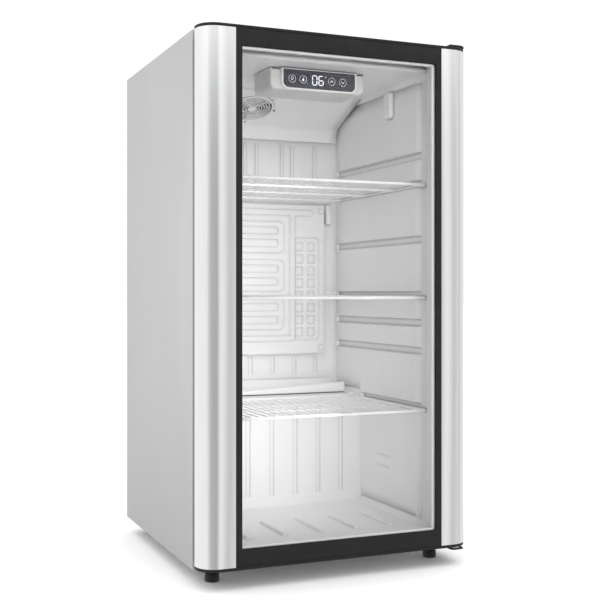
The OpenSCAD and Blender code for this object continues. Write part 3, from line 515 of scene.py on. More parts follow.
def frame_loop(profile, outer_x, outer_z, inner_x, inner_z):
    """A closed profile carried round a rectangular frame with mitred corners. Each profile point is
    (share, shift, y): its inset is share times the frame's width on that side, plus the shift."""
    share, shift, y = np.asarray(profile, float).T
    low = outer_z[0] + share * (inner_z[0] - outer_z[0]) + shift
    high = outer_z[1] - share * (outer_z[1] - inner_z[1]) - shift
    half = outer_x - share * (outer_x - inner_x) - shift
    corners = [(-half, low), (half, low), (half, high), (-half, high)]
    rows = np.stack([np.stack([x, y, z], axis=-1) for x, z in corners])
    return grid(rows, wrap_rows=True, wrap_columns=True)


def frame_sweep(profile, half_x, z):
    """A closed profile of (inset, y) carried round a rectangle with mitred corners."""
    return frame_loop(np.insert(np.asarray(profile, float), 0, 0, axis=1), half_x, z, half_x, z)


def rings(path, tangent, size, sides, up):
    """Circles of the given sizes about a path's points: cos(t) and sin(t) times two vectors square to
    the tangent, the first of them square to `up` as well."""
    side = unit(np.cross(tangent, up))
    over = np.cross(side, tangent)
    turn = np.linspace(0, 2 * np.pi, sides, endpoint=False)[None, :, None]
    circle = side[:, None] * np.cos(turn) + over[:, None] * np.sin(turn)
    return path[:, None] + circle * np.asarray(size, float)[:, None, None]


def tube(path, radius, sides=8, up=(0.0, 0.0, 1.0)):
    """A round tube along an open path. Its end points are doubled, with a ring of no size at each."""
    path = np.asarray(path, float)
    tangent = unit(np.gradient(path, axis=0))
    path, tangent = (np.concatenate([v[:1], v, v[-1:]]) for v in (path, tangent))
    size = np.pad(np.full(len(path) - 2, float(radius)), 1)
    return grid(rings(path, tangent, size, sides, up), wrap_columns=True)


def loop_tube(path, radius, sides=12):
    """A round tube along a closed path."""
    tangent = unit(np.roll(path, -1, axis=0) - np.roll(path, 1, axis=0))
    return grid(rings(path, tangent, np.full(len(path), radius), sides, (0.0, 0.0, 1.0)),
        wrap_rows=True, wrap_columns=True)


def lathe(profile, middle, sides=32):
    """A profile of (radius, height) turned about an upright axis through the middle."""
    profile = np.asarray(profile, float)
    turn = np.linspace(0, 2 * np.pi, sides, endpoint=False)
    x = profile[:, :1] * np.cos(turn)[None]
    y = profile[:, :1] * np.sin(turn)[None]
    rows = np.stack([x, y, np.broadcast_to(profile[:, 1:], x.shape)], axis=-1)
    return grid(rows + np.asarray(middle, float), wrap_columns=True)


def step(value):
    """A smooth step from 0 to 1: 3 v^2 - 2 v^3, held at 0 and 1 outside."""
    v = np.clip(value, 0, 1)
    return v * v * (3 - 2 * v)


def plateau(value, low, high, edge):
    """1 between low and high and 0 outside, with smooth flanks of the given width inside the limits."""
    return step((value - low) / edge) * step((high - value) / edge)


def stops(*groups):
    """Sorted grid lines from several lists, with lines closer than a fifth of a millimetre merged."""
    values = np.sort(np.concatenate([np.atleast_1d(np.asarray(g, float)) for g in groups]))
    return values[np.insert(np.diff(values) > 0.2, 0, True)]


# %% [markdown]
# ## Inner liner
# The liner is the piece that the eye sees most of. It is drawn from one sheet, so every corner is
# rounded. Its roof, rear wall, ledge, lower rear wall and floor are one ribbon, carried along the side
# view's outline; at both edges the ribbon curls into the side walls. The side walls are grids whose
# lines crowd where the shelf channels are pressed.

# %% Liner sizes
CURL = 10
FLARE = (MOUTH_Y + 31, MOUTH_Y + 43)
COVER_LOW = sizes("fan_cover")[0][2]
RUNG = (COVER_LOW - LEDGE_Z) / 10.25
CHANNEL_H = 14
CHANNEL_END = REAR_Y - 13
CHANNEL_TOPS = {k: LEDGE_Z + 5 + k * RUNG for k in (0, 2, 3, 4, 6, 8, 9)}
RIB_X, LOW_GROOVE_X = np.arange(-2, 3) * BODY_W * 0.36, np.arange(-3, 4) * BODY_W * 0.26
REAR_GROOVE_X, REAR_RIB_X = np.arange(-3, 4) * 46.0, np.array([-136, -87, -65, -12, 12, 65, 87, 136.0])
RIB_HIGH, GROOVE_DEEP, REAR_RIB_HIGH = 4.5, 1.7, 2.0


def half_width(y):
    """Half the food space's width at depth y: the mouth's, then a smooth step down to the body's."""
    return MOUTH_W + (BODY_W - MOUTH_W) * step((y - FLARE[0]) / (FLARE[1] - FLARE[0]))


# %% Liner ribbon
def ribbon_rows():
    """The side view's outline from the roof's front to the floor's front, as rows of
    (y, z, normal y, normal z, curl share): straight runs, and quarter circles at the hollow corners."""
    r = CURL
    turn = np.radians(np.linspace(0, 90, 7))[1:-1]
    front = stops([MOUTH_Y, MOUTH_Y + 2], np.linspace(*FLARE, 7), np.linspace(FLARE[1], 200, 12))

    def flat(y, z, ny, nz):
        y, z = np.broadcast_arrays(np.asarray(y, float), np.asarray(z, float))
        return np.stack([y, z, np.full(y.shape, ny), np.full(y.shape, nz)], axis=-1)

    def corner(cy, cz, a):
        a = np.asarray(a)
        return np.stack([cy + r * np.cos(a), cz + r * np.sin(a), -np.cos(a), -np.sin(a)], axis=-1)

    roof = flat(stops(front, np.linspace(210, REAR_Y - r, 12)), ROOF_Z, 0, -1)
    top = corner(REAR_Y - r, ROOF_Z - r, np.pi / 2 - turn)
    marks = [COVER_LOW - 10 + d for d in (-3, -2, -1, 0, 4, 5, 6)]
    marks += [LEDGE_Z + 30 + d for d in (0, 2, 4, 36, 38, 40)]
    rear = flat(REAR_Y, stops(np.linspace(ROOF_Z - r, LEDGE_Z + r, 40), marks)[::-1], -1, 0)
    bottom = corner(REAR_Y - r, LEDGE_Z + r, -turn)
    ledge = flat(np.linspace(REAR_Y - r, LOW_REAR_Y + 6, 8), LEDGE_Z, 0, 1)
    bend = np.array([[LOW_REAR_Y, LEDGE_Z, -1.0, 1.0]])
    edges = [FLOOR_Z + 18, FLOOR_Z + 20, FLOOR_Z + 22, FLOOR_Z + 24]
    low = flat(LOW_REAR_Y, stops(np.linspace(LEDGE_Z - 2, FLOOR_Z + r, 24), edges)[::-1], -1, 0)
    foot = corner(LOW_REAR_Y - r, FLOOR_Z + r, -turn)
    ends = [MOUTH_Y + 38 + d for d in (-4, -3, -2, 0, 2, 100, 102, 104, 105, 106)]
    ground = flat(stops(front, np.linspace(200, LOW_REAR_Y - r, 8), ends)[::-1], FLOOR_Z, 0, 1)
    return np.concatenate([roof, top, rear, bottom, ledge, bend, low, foot, ground])


def pressed_height(x, y, z, on_floor, on_low, on_rear):
    """How far the ribbon is pressed into the room: ribs stand up from the floor and out from the rear
    wall, and grooves go back into both rear walls."""
    def bands(middles, half, edge):
        return sum(plateau(x, m - half, m + half, edge) for m in middles)

    ribs = on_floor * RIB_HIGH * bands(RIB_X, 5, 2.5) * plateau(y, MOUTH_Y + 34, MOUTH_Y + 144, 3)
    rear_ribs = on_rear * REAR_RIB_HIGH * bands(REAR_RIB_X, 3, 1) * plateau(z, 640, COVER_LOW - 4, 4)
    run = step((z - FLOOR_Z - 18) / 4) * step((LEDGE_Z - 3 - z) / 3)
    grooves = on_low * bands(LOW_GROOVE_X, 5, 0.8) * run
    grooves = grooves + on_rear * bands(REAR_GROOVE_X, 5, 0.8) * plateau(z, LEDGE_Z + 32, LEDGE_Z + 70, 3)
    return ribs + rear_ribs - GROOVE_DEEP * grooves


def liner_ribbon():
    """x runs over the flat width; at its edges the curl adds r sin(f) in x and r (1 - cos f) along the
    row's normal, for f from 0 to 90 degrees."""
    rows = ribbon_rows()
    y, z, ny, nz = (rows[:, i][:, None] for i in range(4))
    flat = BODY_W - CURL
    near = [np.add.outer(RIB_X, [-5, -3.7, -2.5, 0, 2.5, 3.7, 5]),
        np.add.outer(LOW_GROOVE_X, [-5, -4.6, -4.2, 0, 4.2, 4.6, 5]),
        np.add.outer(REAR_GROOVE_X, [-5, -4.6, -4.2, 4.2, 4.6, 5]),
        np.add.outer(REAR_RIB_X, [-3, -2.5, -2, 2, 2.5, 3])]
    across = stops(np.linspace(-flat, flat, 19), *[lines.ravel() for lines in near])
    f = np.radians(np.linspace(0, 90, 7))[1:]
    share = np.concatenate([np.full(6, -1.0), across / flat, np.full(6, 1.0)])[None]
    swing = np.concatenate([f[::-1], np.zeros(len(across)), f])[None]
    width = half_width(y) * (np.abs(nz) > 0.5) + BODY_W * (np.abs(nz) <= 0.5)
    x = share * (width - CURL) + np.sign(share) * CURL * np.sin(swing)
    lift = CURL * (1 - np.cos(swing))
    plain = np.where(swing == 0, 1.0, 0.0)
    on_floor = plain * (nz == 1) * (z < LEDGE_Z - 20)
    on_low = plain * (ny == -1) * (nz == 0) * (z < LEDGE_Z)
    on_rear = plain * (ny == -1) * (nz == 0) * (z > LEDGE_Z)
    lift = lift + pressed_height(x, y, z, on_floor, on_low, on_rear)
    return grid(np.stack([x, y + ny * lift, z + nz * lift], axis=-1))


# %% Liner side walls
def wall_depth(y, z):
    """x of the right wall: the body's half width, the flare near the mouth, and the channels pressed
    out to the mouth's plane, each with a raised collar round its rear end that stops the shelf."""
    pressed, collars = np.zeros((2, *np.broadcast(y, z).shape))
    for k, top in CHANNEL_TOPS.items():
        end = CHANNEL_END if k else LOW_REAR_Y - CURL - 1
        run = step((end - y) / 2) * plateau(z, top - CHANNEL_H - 0.5, top + 0.5, 2)
        collar = plateau(y, end - 16, end + 2.5, 1.5) * plateau(z, top - CHANNEL_H - 5, top + 5, 1.5)
        pressed, collars = np.maximum(pressed, run), np.maximum(collars, collar)
    for z_mark in (FLOOR_Z + 96, FLOOR_Z + 76):
        pressed = pressed + 0.15 * plateau(y, 180, 245, 3) * plateau(z, z_mark, z_mark + 5, 2)
    inner = half_width(y) - 1.3 * collars * (1 - pressed)
    return np.maximum(inner, BODY_W + POCKET * np.minimum(pressed, 1) - 1.3 * collars)


def side_wall(sign):
    """Two grids of (y, z): the upper one to the rear wall, the lower one to the lower rear wall."""
    flanks = (-19, -18.2, -17.5, -14.5, -13.5, -12.5, -7, -1.5, -0.5, 0.5, 3.5, 4.2, 5)
    bends = np.add.outer(list(CHANNEL_TOPS.values()), flanks).ravel()
    marks = [FLOOR_Z + h + d for h in (76, 96) for d in (0, 1, 2, 3, 4, 5)]
    split, top, bottom = LEDGE_Z + CURL, ROOF_Z - CURL, FLOOR_Z + CURL
    high = stops(np.linspace(split, top, 24), bends[(bends > split) & (bends < top)])
    low = stops(np.linspace(bottom, split, 12), bends[(bends > bottom) & (bends < split)], marks)
    front = stops([MOUTH_Y, MOUTH_Y + 2], np.linspace(*FLARE, 9), np.linspace(FLARE[1], 280, 10),
        [180, 181.5, 183, 242, 243.5, 245, 282, 283, 284, 296, 297, 298])
    near = [CHANNEL_END + d for d in (-16, -15.2, -14.5, -2, -1, 0, 1, 2, 2.5)]
    deep = stops([LOW_REAR_Y - CURL, REAR_Y - CURL], np.linspace(LOW_REAR_Y, REAR_Y - CURL, 8), near)
    shallow = front[front < LOW_REAR_Y - CURL]
    walls = []
    for ys, zs in ((stops(shallow, deep), high), (stops(shallow, [LOW_REAR_Y - CURL]), low)):
        y, z = np.meshgrid(ys, zs)
        walls.append(grid(np.stack([sign * wall_depth(y, z), y, z], axis=-1)))
    return walls


def liner_lip():
    """The sheet's edge round the mouth: rounded rectangles from the mouth's own outline to 8 mm out."""
    shift = np.array([0, 0.6, 1.6, LIP])
    depth = np.array([1.2, 0.4, 0, 0]) + MOUTH_Y
    return grid([np.insert(arc_rect(MOUTH_W + out, (FLOOR_Z - out, ROOF_Z + out), CURL + out), 1, y, axis=1)
        for out, y in zip(shift, depth)], wrap_columns=True)


front = (0, -1, 0)
liner_parts = [facing(liner_ribbon(), front), facing(liner_lip(), front)]
for sign in (-1, 1):
    liner_parts += [facing(wall, (-sign, 0, 0)) for wall in side_wall(sign)]
piece("liner_shell", liner_parts, LINER_PS, "cabinet", ["inner_liner"],
    recalc=False, sharp=50, wall=-1.2)

# %% [markdown]
# ## Door
# The door is a sandwich: a black moulded frame in front, the sealed glass, and a white inner frame
# behind. Two brushed pillars grip its sides, and a cap closes each end. Every moulded edge has a small
# radius, because a sharp one would chip and can't leave the tool.

# %% Frames round the glass
front_low, front_high = sizes("door_front_frame")
inner_low, inner_high = sizes("door_inner_frame")
glass_low, glass_high = sizes("glass_unit")
OPEN_X, OPEN_Z = glass_high[0] - 6, (glass_low[2] + 6, glass_high[2] - 6)
deep = front_high[1]
front_profile = [(0, 1.0, 0), (1, -1.6, 0), (1, -0.5, 0.35), (1, 0, 1.4), (1, 0, 4), (1, -6.6, 4),
    (1, -6.6, deep), (0, 0, deep), (0, 0, 1), (0, 0.3, 0.3)]
front_loop = frame_loop(front_profile, front_high[0], (front_low[2], front_high[2]), OPEN_X, OPEN_Z)
piece("door_front_bezel", [front_loop], BLACK_ABS, "door", ["door_front_frame"])

back, flange = inner_high[1], inner_high[1] - 1.8
inner_x, inner_z = OPEN_X + 3, (OPEN_Z[0] - 3, OPEN_Z[1] + 3)
inner_profile = [(0, 18.4, flange), (0, 18, flange + 0.5), (0, 18, back - 0.6), (0, 18.6, back),
    (1, -5, back), (1, -2, back - 0.6), (1, -0.5, back - 2), (1, 0, back - 4), (1, 0, inner_low[1]),
    (1, -6.5, inner_low[1]), (1, -6.5, flange)]
inner_loop = frame_loop(inner_profile, inner_high[0], (inner_low[2], inner_high[2]), inner_x, inner_z)
piece("door_inner_bezel", [inner_loop], WHITE_ABS, "door", ["door_inner_frame"])

# %% Gasket with its outer lip
seal_low, seal_high = sizes("door_gasket")
root_y, tip_y, lip_root = seal_low[1], seal_high[1], flange + 0.1
SEAL_W, WING_END = 18, 195.0
bellows = np.array([(1, root_y), (1, root_y + 1), (0.3, root_y + 2.2), (2.4, root_y + 3.6),
    (0.4, root_y + 5), (0.6, root_y + 6.4), (1.4, tip_y)])
bellows = np.concatenate([bellows, (bellows * [-1, 1] + [SEAL_W, 0])[::-1]])
seal_loop = rounded(bellows, 0.35, 2)
lip = np.array([(0.8, lip_root), (0.4, root_y + 3), (1.0, root_y + 6), (3.2, tip_y - 0.2),
    (4.3, tip_y - 0.2), (2.2, root_y + 5.6), (1.6, root_y + 3), (2.2, lip_root)])
lip_x, lip_z = inner_high[0] - lip[:, 0], (inner_low[2] + lip[:, 0], inner_high[2] - lip[:, 0])
end_x = np.full(len(lip), WING_END)
stations = [(end_x, lip_z[0]), (-lip_x, lip_z[0]), (-lip_x, lip_z[1]), (end_x, lip_z[1])]
wing = grid(np.array([np.stack([x, lip[:, 1], z], axis=-1) for x, z in stations]), wrap_columns=True)
wing = (wing[0], wing[1] + end_caps(len(lip), len(wing[0])))
seal = frame_sweep(seal_loop, seal_high[0], (seal_low[2], seal_high[2]))
piece("door_seal", [seal, wing], GASKET_PVC, "door", ["door_gasket"])

# %% [markdown]
# The glass is a sealed unit: two 4 mm panes with ground edges, and a white spacer between them whose
# inner face shows as a thin bright line all round.

# %% Glass unit
pane_t = 4
pane_z = (glass_low[2], glass_high[2])
pane = arc_rect(glass_high[0], pane_z, 2)
panes = [bar(pane, y, y + pane_t, 1, 0.4) for y in (glass_low[1], glass_high[1] - pane_t)]
piece("door_panes", panes, GLASS, "door", ["glass_unit"])
y0, y1 = glass_low[1] + pane_t, glass_high[1] - pane_t
spacer = [(1, y0 + 0.1), (7.6, y0 + 0.1), (8.2, y0 + 1), (8.2, y1 - 1), (7.6, y1 - 0.1), (1, y1 - 0.1)]
piece("door_glass_spacer", [frame_sweep(spacer, glass_high[0], pane_z)], WHITE_ABS, "door")

# %% [markdown]
# A pillar is one extrusion: flat in front, then a quarter round to the side. The right one stops short
# of the edge, where a black strip covers the hinge side.

# %% Pillars, edge strip and caps
left_low, left_high = sizes("pillar_left")
IN_X, ROUND, CAP_T = left_high[0], 30, 5
trim_low, trim_high = sizes("hinge_edge_trim")
PILLAR_Z = (left_low[2], left_high[2])
DEPTH = left_high[1]


def round_corner(from_x, to_x, count):
    """The right front corner in plan: x = a + r sin(t), y = r - r cos(t), with t such that x runs
    between the given limits."""
    first, last = (math.asin(min(1, (x - HALF_W + ROUND) / ROUND)) for x in (from_x, to_x))
    t = np.linspace(first, last, count)
    return np.stack([HALF_W - ROUND + ROUND * np.sin(t), ROUND - ROUND * np.cos(t)], axis=-1)


def pillar_outline(to_x):
    """The pillar's plan on the right side: straight in front, round to the limit in x, straight back."""
    return np.concatenate([round_corner(HALF_W - ROUND, to_x, 15),
        [(to_x, DEPTH - 0.8), (to_x - 0.8, DEPTH), (-IN_X + 0.6, DEPTH), (-IN_X, DEPTH - 0.6)],
        [(-IN_X, 0.8), (-IN_X + 0.25, 0.25), (-IN_X + 0.8, 0)]])


plans = {"left": pillar_outline(HALF_W) * [-1, 1], "right": pillar_outline(sizes("pillar_right")[1][0])}
for side, plan in plans.items():
    piece(f"door_pillar_{side}", [bar(plan, *PILLAR_Z, 2, 0.3)], BRUSHED, "door", [f"pillar_{side}"])
strip = np.concatenate([round_corner(trim_low[0], HALF_W, 8),
    [(HALF_W, trim_high[1] - 0.8), (HALF_W - 0.8, trim_high[1]), (trim_low[0], trim_high[1])]])
piece("door_edge_strip", [bar(strip, trim_low[2], trim_high[2], 2, 0.4)], BLACK_ABS, "door",
    ["hinge_edge_trim"])

cap_depth = sizes("door_top_cap")[1][1]
corner = round_corner(HALF_W - ROUND, HALF_W, 13)
cap_plan = np.concatenate([(corner * [-1, 1])[::-1], corner, [(HALF_W, cap_depth - 1),
    (HALF_W - 1, cap_depth), (1 - HALF_W, cap_depth), (-HALF_W, cap_depth - 1)]])
for name in ("door_top_cap", "door_bottom_cap"):
    low, high = sizes(name)
    z0, z1 = (high[2] - CAP_T, high[2]) if "top" in name else (low[2], low[2] + CAP_T)
    piece(name + "_moulded", [bar(cap_plan, z0, z1, 2, 1.2, 3)], BLACK_ABS, "door", [name])

# %% [markdown]
# ## Cabinet sheets
# The side panels are folded from one sheet each, with a flange at the front. A fold in one-millimetre
# steel has an inner radius of about its own thickness.

# %% Folded sheets
def folded(corners, radius, low, high, axis, steps=5):
    """An open ribbon: a section with its inner corners eased, drawn out straight along the axis."""
    line = softened(corners, radius, steps)
    ends = np.array([low, high])[:, None]
    rows = np.broadcast_to(line, (2, *line.shape))
    return grid(np.insert(rows, axis, np.broadcast_to(ends, (2, len(line))), axis=2))


side_low, side_high = sizes("side_panel_right")
for side, sign in (("left", -1), ("right", 1)):
    x, y0, y1 = sign * HALF_W, side_low[1], side_high[1]
    section = [(sign * side_low[0], y0), (x, y0), (x, y1)]
    ribbon = facing(folded(section, 1.6, side_low[2], side_high[2], 2), (sign, 0, 0))
    piece(f"side_sheet_{side}", [ribbon], POWDER_COAT, "cabinet", [f"side_panel_{side}"],
        recalc=False, wall=-1.0)


def pressed(half_u, half_v, corner_r, insets, heights, steps=6):
    """Rounded rectangles stacked as rings, each set in by its own inset and raised to its own height,
    with the last ring filled: a pressed tray or lid, in its own (u, v, height)."""
    rings = []
    for inset, height in zip(insets, heights):
        ring = arc_rect(half_u - inset, (inset - half_v, half_v - inset), max(corner_r - inset, 0.4), steps)
        rings.append(np.insert(ring, 2, height, axis=1))
    vertices, faces = grid(np.array(rings), wrap_columns=True)
    last = len(vertices) - len(rings[0])
    return vertices, faces + [list(range(last, len(vertices)))]


top_low, top_high = sizes("top_panel")
top_half = (top_high - top_low) / 2
lid, faces = pressed(top_half[0], top_half[1], 3, (0, 0, 0.5, 1.8, 4), (-10, -1.8, -0.5, 0, 0))
lid = lid + [0, (top_low[1] + top_high[1]) / 2, top_high[2]]
flange = [(top_low[1], top_low[2]), (top_low[1], top_high[2]), (top_low[1] + 8, top_high[2])]
flange = facing(folded(flange, 1.2, -MOUTH_W - LIP, MOUTH_W + LIP, 0), (0, -1, 0))
piece("top_sheet", [facing((lid, faces), (0, 0, 1)), flange], POWDER_COAT, "cabinet", ["top_panel"],
    recalc=False, wall=-0.9)

# %% [markdown]
# ## Feet, hinge cover and lower hinge plate
# Each foot is a moulded pad on a threaded stem with a hexagon to turn it by.

# %% Feet
for name in ("front_left", "front_right", "rear_left", "rear_right"):
    low, high = sizes("foot_" + name)
    middle = ((low[0] + high[0]) / 2, (low[1] + high[1]) / 2, 0)
    pad = high[0] - middle[0]
    profile = [(0, 0), (pad - 2, 0), (pad - 0.4, 0.6), (pad, 2.5), (pad - 0.3, 9), (pad - 1.2, 12.5),
        (pad - 3, 14), (8.6, 14.2), (0, 14.3)]
    t = np.radians(np.arange(0, 360, 60))
    hexagon = np.stack([middle[0] + 8 * np.cos(t), middle[1] + 8 * np.sin(t)], axis=-1)
    nut = bar(hexagon, 14, 19.5, 2, 0.5)
    turns = np.arange(19, high[2] - 0.6, 0.31)
    thread = np.stack([3.55 + 0.4 * np.abs((turns / 1.25) % 1 * 2 - 1), turns], axis=-1)
    thread = np.concatenate([[(0, turns[0])], thread, [(0, turns[-1] + 0.3)]])
    piece("leveller_" + name, [lathe(profile, middle, 40), nut, lathe(thread, middle, 20)], BLACK_ABS,
        "foot_" + name, ["foot_" + name])

# %% Hinge cover and lower plate
def footprint(low, high):
    """The four corners of a box seen from above, from the low one round."""
    return [(low[0], low[1]), (high[0], low[1]), (high[0], high[1]), (low[0], high[1])]


cover_low, cover_high = sizes("hinge_cover")
cover_plan = rounded(footprint(cover_low, cover_high), [3, 18, 3, 3], 10)
piece("hinge_cover_moulded", [bar(cover_plan, top_high[2] + 3.4, cover_high[2], 2, 2.2, 4)], BLACK_ABS,
    "cabinet", ["hinge_cover"])
plate_low, plate_high = sizes("hinge_bracket_bottom")
plate_plan = rounded(footprint(plate_low, plate_high), 6, 5)
piece("hinge_plate_bottom", [bar(plate_plan, plate_low[2], plate_high[2], 2, 0.3)], BLACK_ABS, "cabinet",
    ["hinge_bracket_bottom"])

# %% [markdown]
# ## Evaporator
# The plate is a height field: a flat sheet of aluminium, raised wherever the printed channels were
# blown up. The distance to a rounded rectangle tells where, and a smooth flank joins both levels.

# %% Evaporator plate
evap_low, evap_high = sizes("evaporator_plate")
EVAP_W, EVAP_Z = evap_high[0], (evap_low[2], evap_high[2])
SHEET_Y = evap_high[1] - 1.5


def inside(x, z, low_x, high_x, low_z, high_z, r, edge=1.2):
    """1 within a rounded rectangle and 0 outside, from the signed distance to its outline:
    |max(q, 0)| + min(max(q), 0) - r, where q is how far the point lies past the inner rectangle."""
    qx = np.abs(x - (low_x + high_x) / 2) - (high_x - low_x) / 2 + r
    qz = np.abs(z - (low_z + high_z) / 2) - (high_z - low_z) / 2 + r
    distance = np.hypot(np.maximum(qx, 0), np.maximum(qz, 0)) + np.minimum(np.maximum(qx, qz), 0) - r
    return step(0.5 - distance / edge)


def evaporator_height(x, z):
    """The blown-up channels: three looped groups, a header round them and the ladder beside them."""
    top = EVAP_Z[1] - 11
    high = np.zeros(x.shape)
    for i in range(3):
        drop = top - 75 * i
        loop = inside(x, z, -64, 64, drop - 84, drop - 24, 9)
        for hole in ((drop - 49, drop - 33), (drop - 74, drop - 58)):
            loop = loop - inside(x, z, -53, 53, *hole, 7)
        high = np.maximum(high, loop)
    for area in ((-138, 125, top - 10, top), (-138, -129, top - 257, top), (78, 88, top - 249, top - 5),
            (-138, 88, top - 257, top - 248)):
        high = np.maximum(high, inside(x, z, *area, 3))
    ladder = inside(x, z, 88, 138, top - 255, top - 55, 5)
    for i in range(8):
        low = top - 249 + 24 * i
        ladder = ladder - inside(x, z, 89, 105, low, low + 18, 3) - inside(x, z, 114, 130, low, low + 18, 3)
    return np.clip(np.maximum(high, ladder), 0, 1)


flank = np.array([-0.9, -0.3, 0.3, 0.9])
edges_x = np.array([-138, -129, -64, -53, 53, 64, 78, 88.5, 105, 114, 125, 130, 138])
drops = np.add.outer(75 * np.arange(3), [24, 33, 49, 58, 74, 84]).ravel()
rungs = 249 - np.add.outer(24 * np.arange(8), [0, 18]).ravel()
edges_z = EVAP_Z[1] - 11 - np.concatenate([drops, rungs, [0, 5, 10, 55, 248, 257]])
columns = stops(np.arange(-EVAP_W, EVAP_W + 1, 2.5), np.add.outer(edges_x, flank).ravel())
levels = stops(np.arange(EVAP_Z[0], EVAP_Z[1] + 1, 2.5), np.add.outer(edges_z, flank).ravel())
across, up = np.meshgrid(columns.clip(-EVAP_W, EVAP_W), levels.clip(*EVAP_Z))
front_y = SHEET_Y - (SHEET_Y - evap_low[1]) * evaporator_height(across, up)
rim = np.minimum(EVAP_W - np.abs(across), np.minimum(up - EVAP_Z[0], EVAP_Z[1] - up))
front_y = front_y + 1.2 * (1 - step(rim / 1.2))
plate = facing(grid(np.stack([across, front_y, up], axis=-1)), (0, -1, 0))
rear = bar(arc_rect(EVAP_W, EVAP_Z, 2), SHEET_Y + 0.4, evap_high[1], 1, 0.3)
piece("evaporator_sheet", [plate, rear], ROLLED, "cabinet", ["evaporator_plate"],
    sharp=70, recalc=False, weld=0.001)
print(f"evaporator relief {SHEET_Y - evap_low[1]:.1f} mm")

# %% [markdown]
# ## Drip gutter
# The gutter is a moulded trough. Its front lip is highest at both ends and dips to the drain, so its
# upper edge shows as a bright sloping line.

# %% Drip gutter
gut_low, gut_high = sizes("drip_gutter")
drain_low, drain_high = sizes("drain_tube")
drain_x = (drain_low[0] + drain_high[0]) / 2
gx = stops(np.linspace(gut_low[0], gut_high[0], 25), [drain_x])
slope = np.where(gx < drain_x, (drain_x - gx) / (drain_x + BODY_W), (gx - drain_x) / (BODY_W - drain_x))
lip_top = gut_low[2] + 8 + 13 * slope
y0, y1, z0, z1 = gut_low[1], gut_high[1], gut_low[2], gut_high[2]
outside = [(y1, z1), (y1, z0 + 4), (y1 - 1.2, z0 + 1.2), (y1 - 4, z0), (y0 + 4, z0), (y0 + 1.2, z0 + 1.2),
    (y0, z0 + 4)]
trough = [(y0 + 2, z0 + 5), (y0 + 3, z0 + 2.8), (y0 + 5, z0 + 2), (y1 - 5, z0 + 2), (y1 - 3, z0 + 2.8),
    (y1 - 2, z0 + 5), (y1 - 2, z1 - 0.5), (y1 - 0.5, z1)]
sections = [outside + [(y0, top - 0.6), (y0 + 0.5, top), (y0 + 1.6, top), (y0 + 2, top - 0.5)] + trough
    for top in lip_top]
rows = np.insert(np.array(sections), 0, gx[:, None], axis=2)
vertices, faces = grid(rows, wrap_columns=True)
faces += end_caps(rows.shape[1], len(vertices))
piece("gutter_moulded", [(vertices, faces)], WHITE_ABS, "cabinet", ["drip_gutter"])

# %% [markdown]
# ## Fan cover, grille and blade
# The cover slopes down to the rear and ends in a lip. Around the fan its mesh runs from a rectangle to
# a circle, so that the hole is truly round. The grille is rings on four spokes.

# %% Sizes of the fan
fc_low, fc_high = sizes("fan_cover")
FAN = np.array([-25, fc_low[1] + 58, 0.0])
SLOPE = math.radians(23.2)
FAN[2] = fc_high[2] - (FAN[1] - fc_low[1]) * math.tan(SLOPE)
TILT = np.array([[1, 0, 0], [0, math.cos(SLOPE), math.sin(SLOPE)], [0, -math.sin(SLOPE), math.cos(SLOPE)]])


def on_slope(x, along, height=0.0):
    """A point of the slope: x across, so far down the slope from the fan's middle, and so far above."""
    flat = np.stack(np.broadcast_arrays(np.asarray(x, float), along, height), axis=-1)
    return flat @ TILT.T + [0, FAN[1], FAN[2]]


def on_fan(part):
    """A part modelled about the origin, set on the slope about the fan's middle."""
    points, faces = part
    return on_slope(points[:, 0] + FAN[0], points[:, 1], points[:, 2]), faces


def spoke(k, near, far, height, radius, steps, sides=8):
    """A straight rod in the slope's plane from one radius to another, at 45 degrees and every 90 on."""
    a, reach = math.radians(45 + 90 * k), np.linspace(near, far, steps)
    path = on_slope(FAN[0] + reach * math.cos(a), reach * math.sin(a), height)
    return tube(path, radius, sides, up=(0.1, 0.2, 1))


# %% Fan cover
HOLE = 42
up_slope, down_slope = -58 / math.cos(SLOPE), (fc_high[1] - FAN[1] - 12) / math.cos(SLOPE)
left, right = FAN[0] - 62, FAN[0] + 62
s = np.linspace(0, 1, 16, endpoint=False)
corners = np.array([(left, up_slope), (right, up_slope), (right, down_slope), (left, down_slope)])
ahead = np.roll(corners, -1, axis=0) - corners
square = (corners[:, None] + s[None, :, None] * ahead[:, None]).reshape(-1, 2)
angle = np.arctan2(square[:, 1], square[:, 0] - FAN[0])
circle = np.stack([FAN[0] + HOLE * np.cos(angle), HOLE * np.sin(angle)], axis=-1)
blend = np.array([0, 0.35, 0.7, 0.93, 1.0])[:, None, None]
mix = square[None] * (1 - blend) + circle[None] * blend
dish = np.array([0, 0, 0, 0, 1.5])[:, None]
parts = [grid(on_slope(mix[..., 0], mix[..., 1], dish), wrap_columns=True)]
edge = np.concatenate([s, [1.0]]) * (down_slope - up_slope) + up_slope
for ends in ((fc_low[0], left), (right, fc_high[0])):
    xs, along = np.meshgrid(np.linspace(*ends, 8), edge)
    parts.append(grid(on_slope(xs, along)))
bottom = on_slope(0.0, down_slope)
turn, rear_y = np.linspace(0, 1, 7)[:, None], fc_high[1]
p0, p1, p2 = bottom[1:], np.array([rear_y - 1, bottom[2] - 4.6]), np.array([rear_y, bottom[2] - 14])
bend = (1 - turn) ** 2 * p0 + 2 * turn * (1 - turn) * p1 + turn ** 2 * p2
low_edge = [(rear_y, fc_low[2] + 2), (rear_y + 1.4, fc_low[2] + 0.5), (rear_y + 4, fc_low[2])]
lip_line = np.concatenate([bend, low_edge])
xs = stops(np.linspace(fc_low[0], left, 8), left + s * (right - left), np.linspace(right, fc_high[0], 8))
parts.append(grid(np.stack([np.insert(lip_line, 0, x, axis=1) for x in xs], axis=1)))
parts = [facing(part, (0, -0.5, -1)) for part in parts]
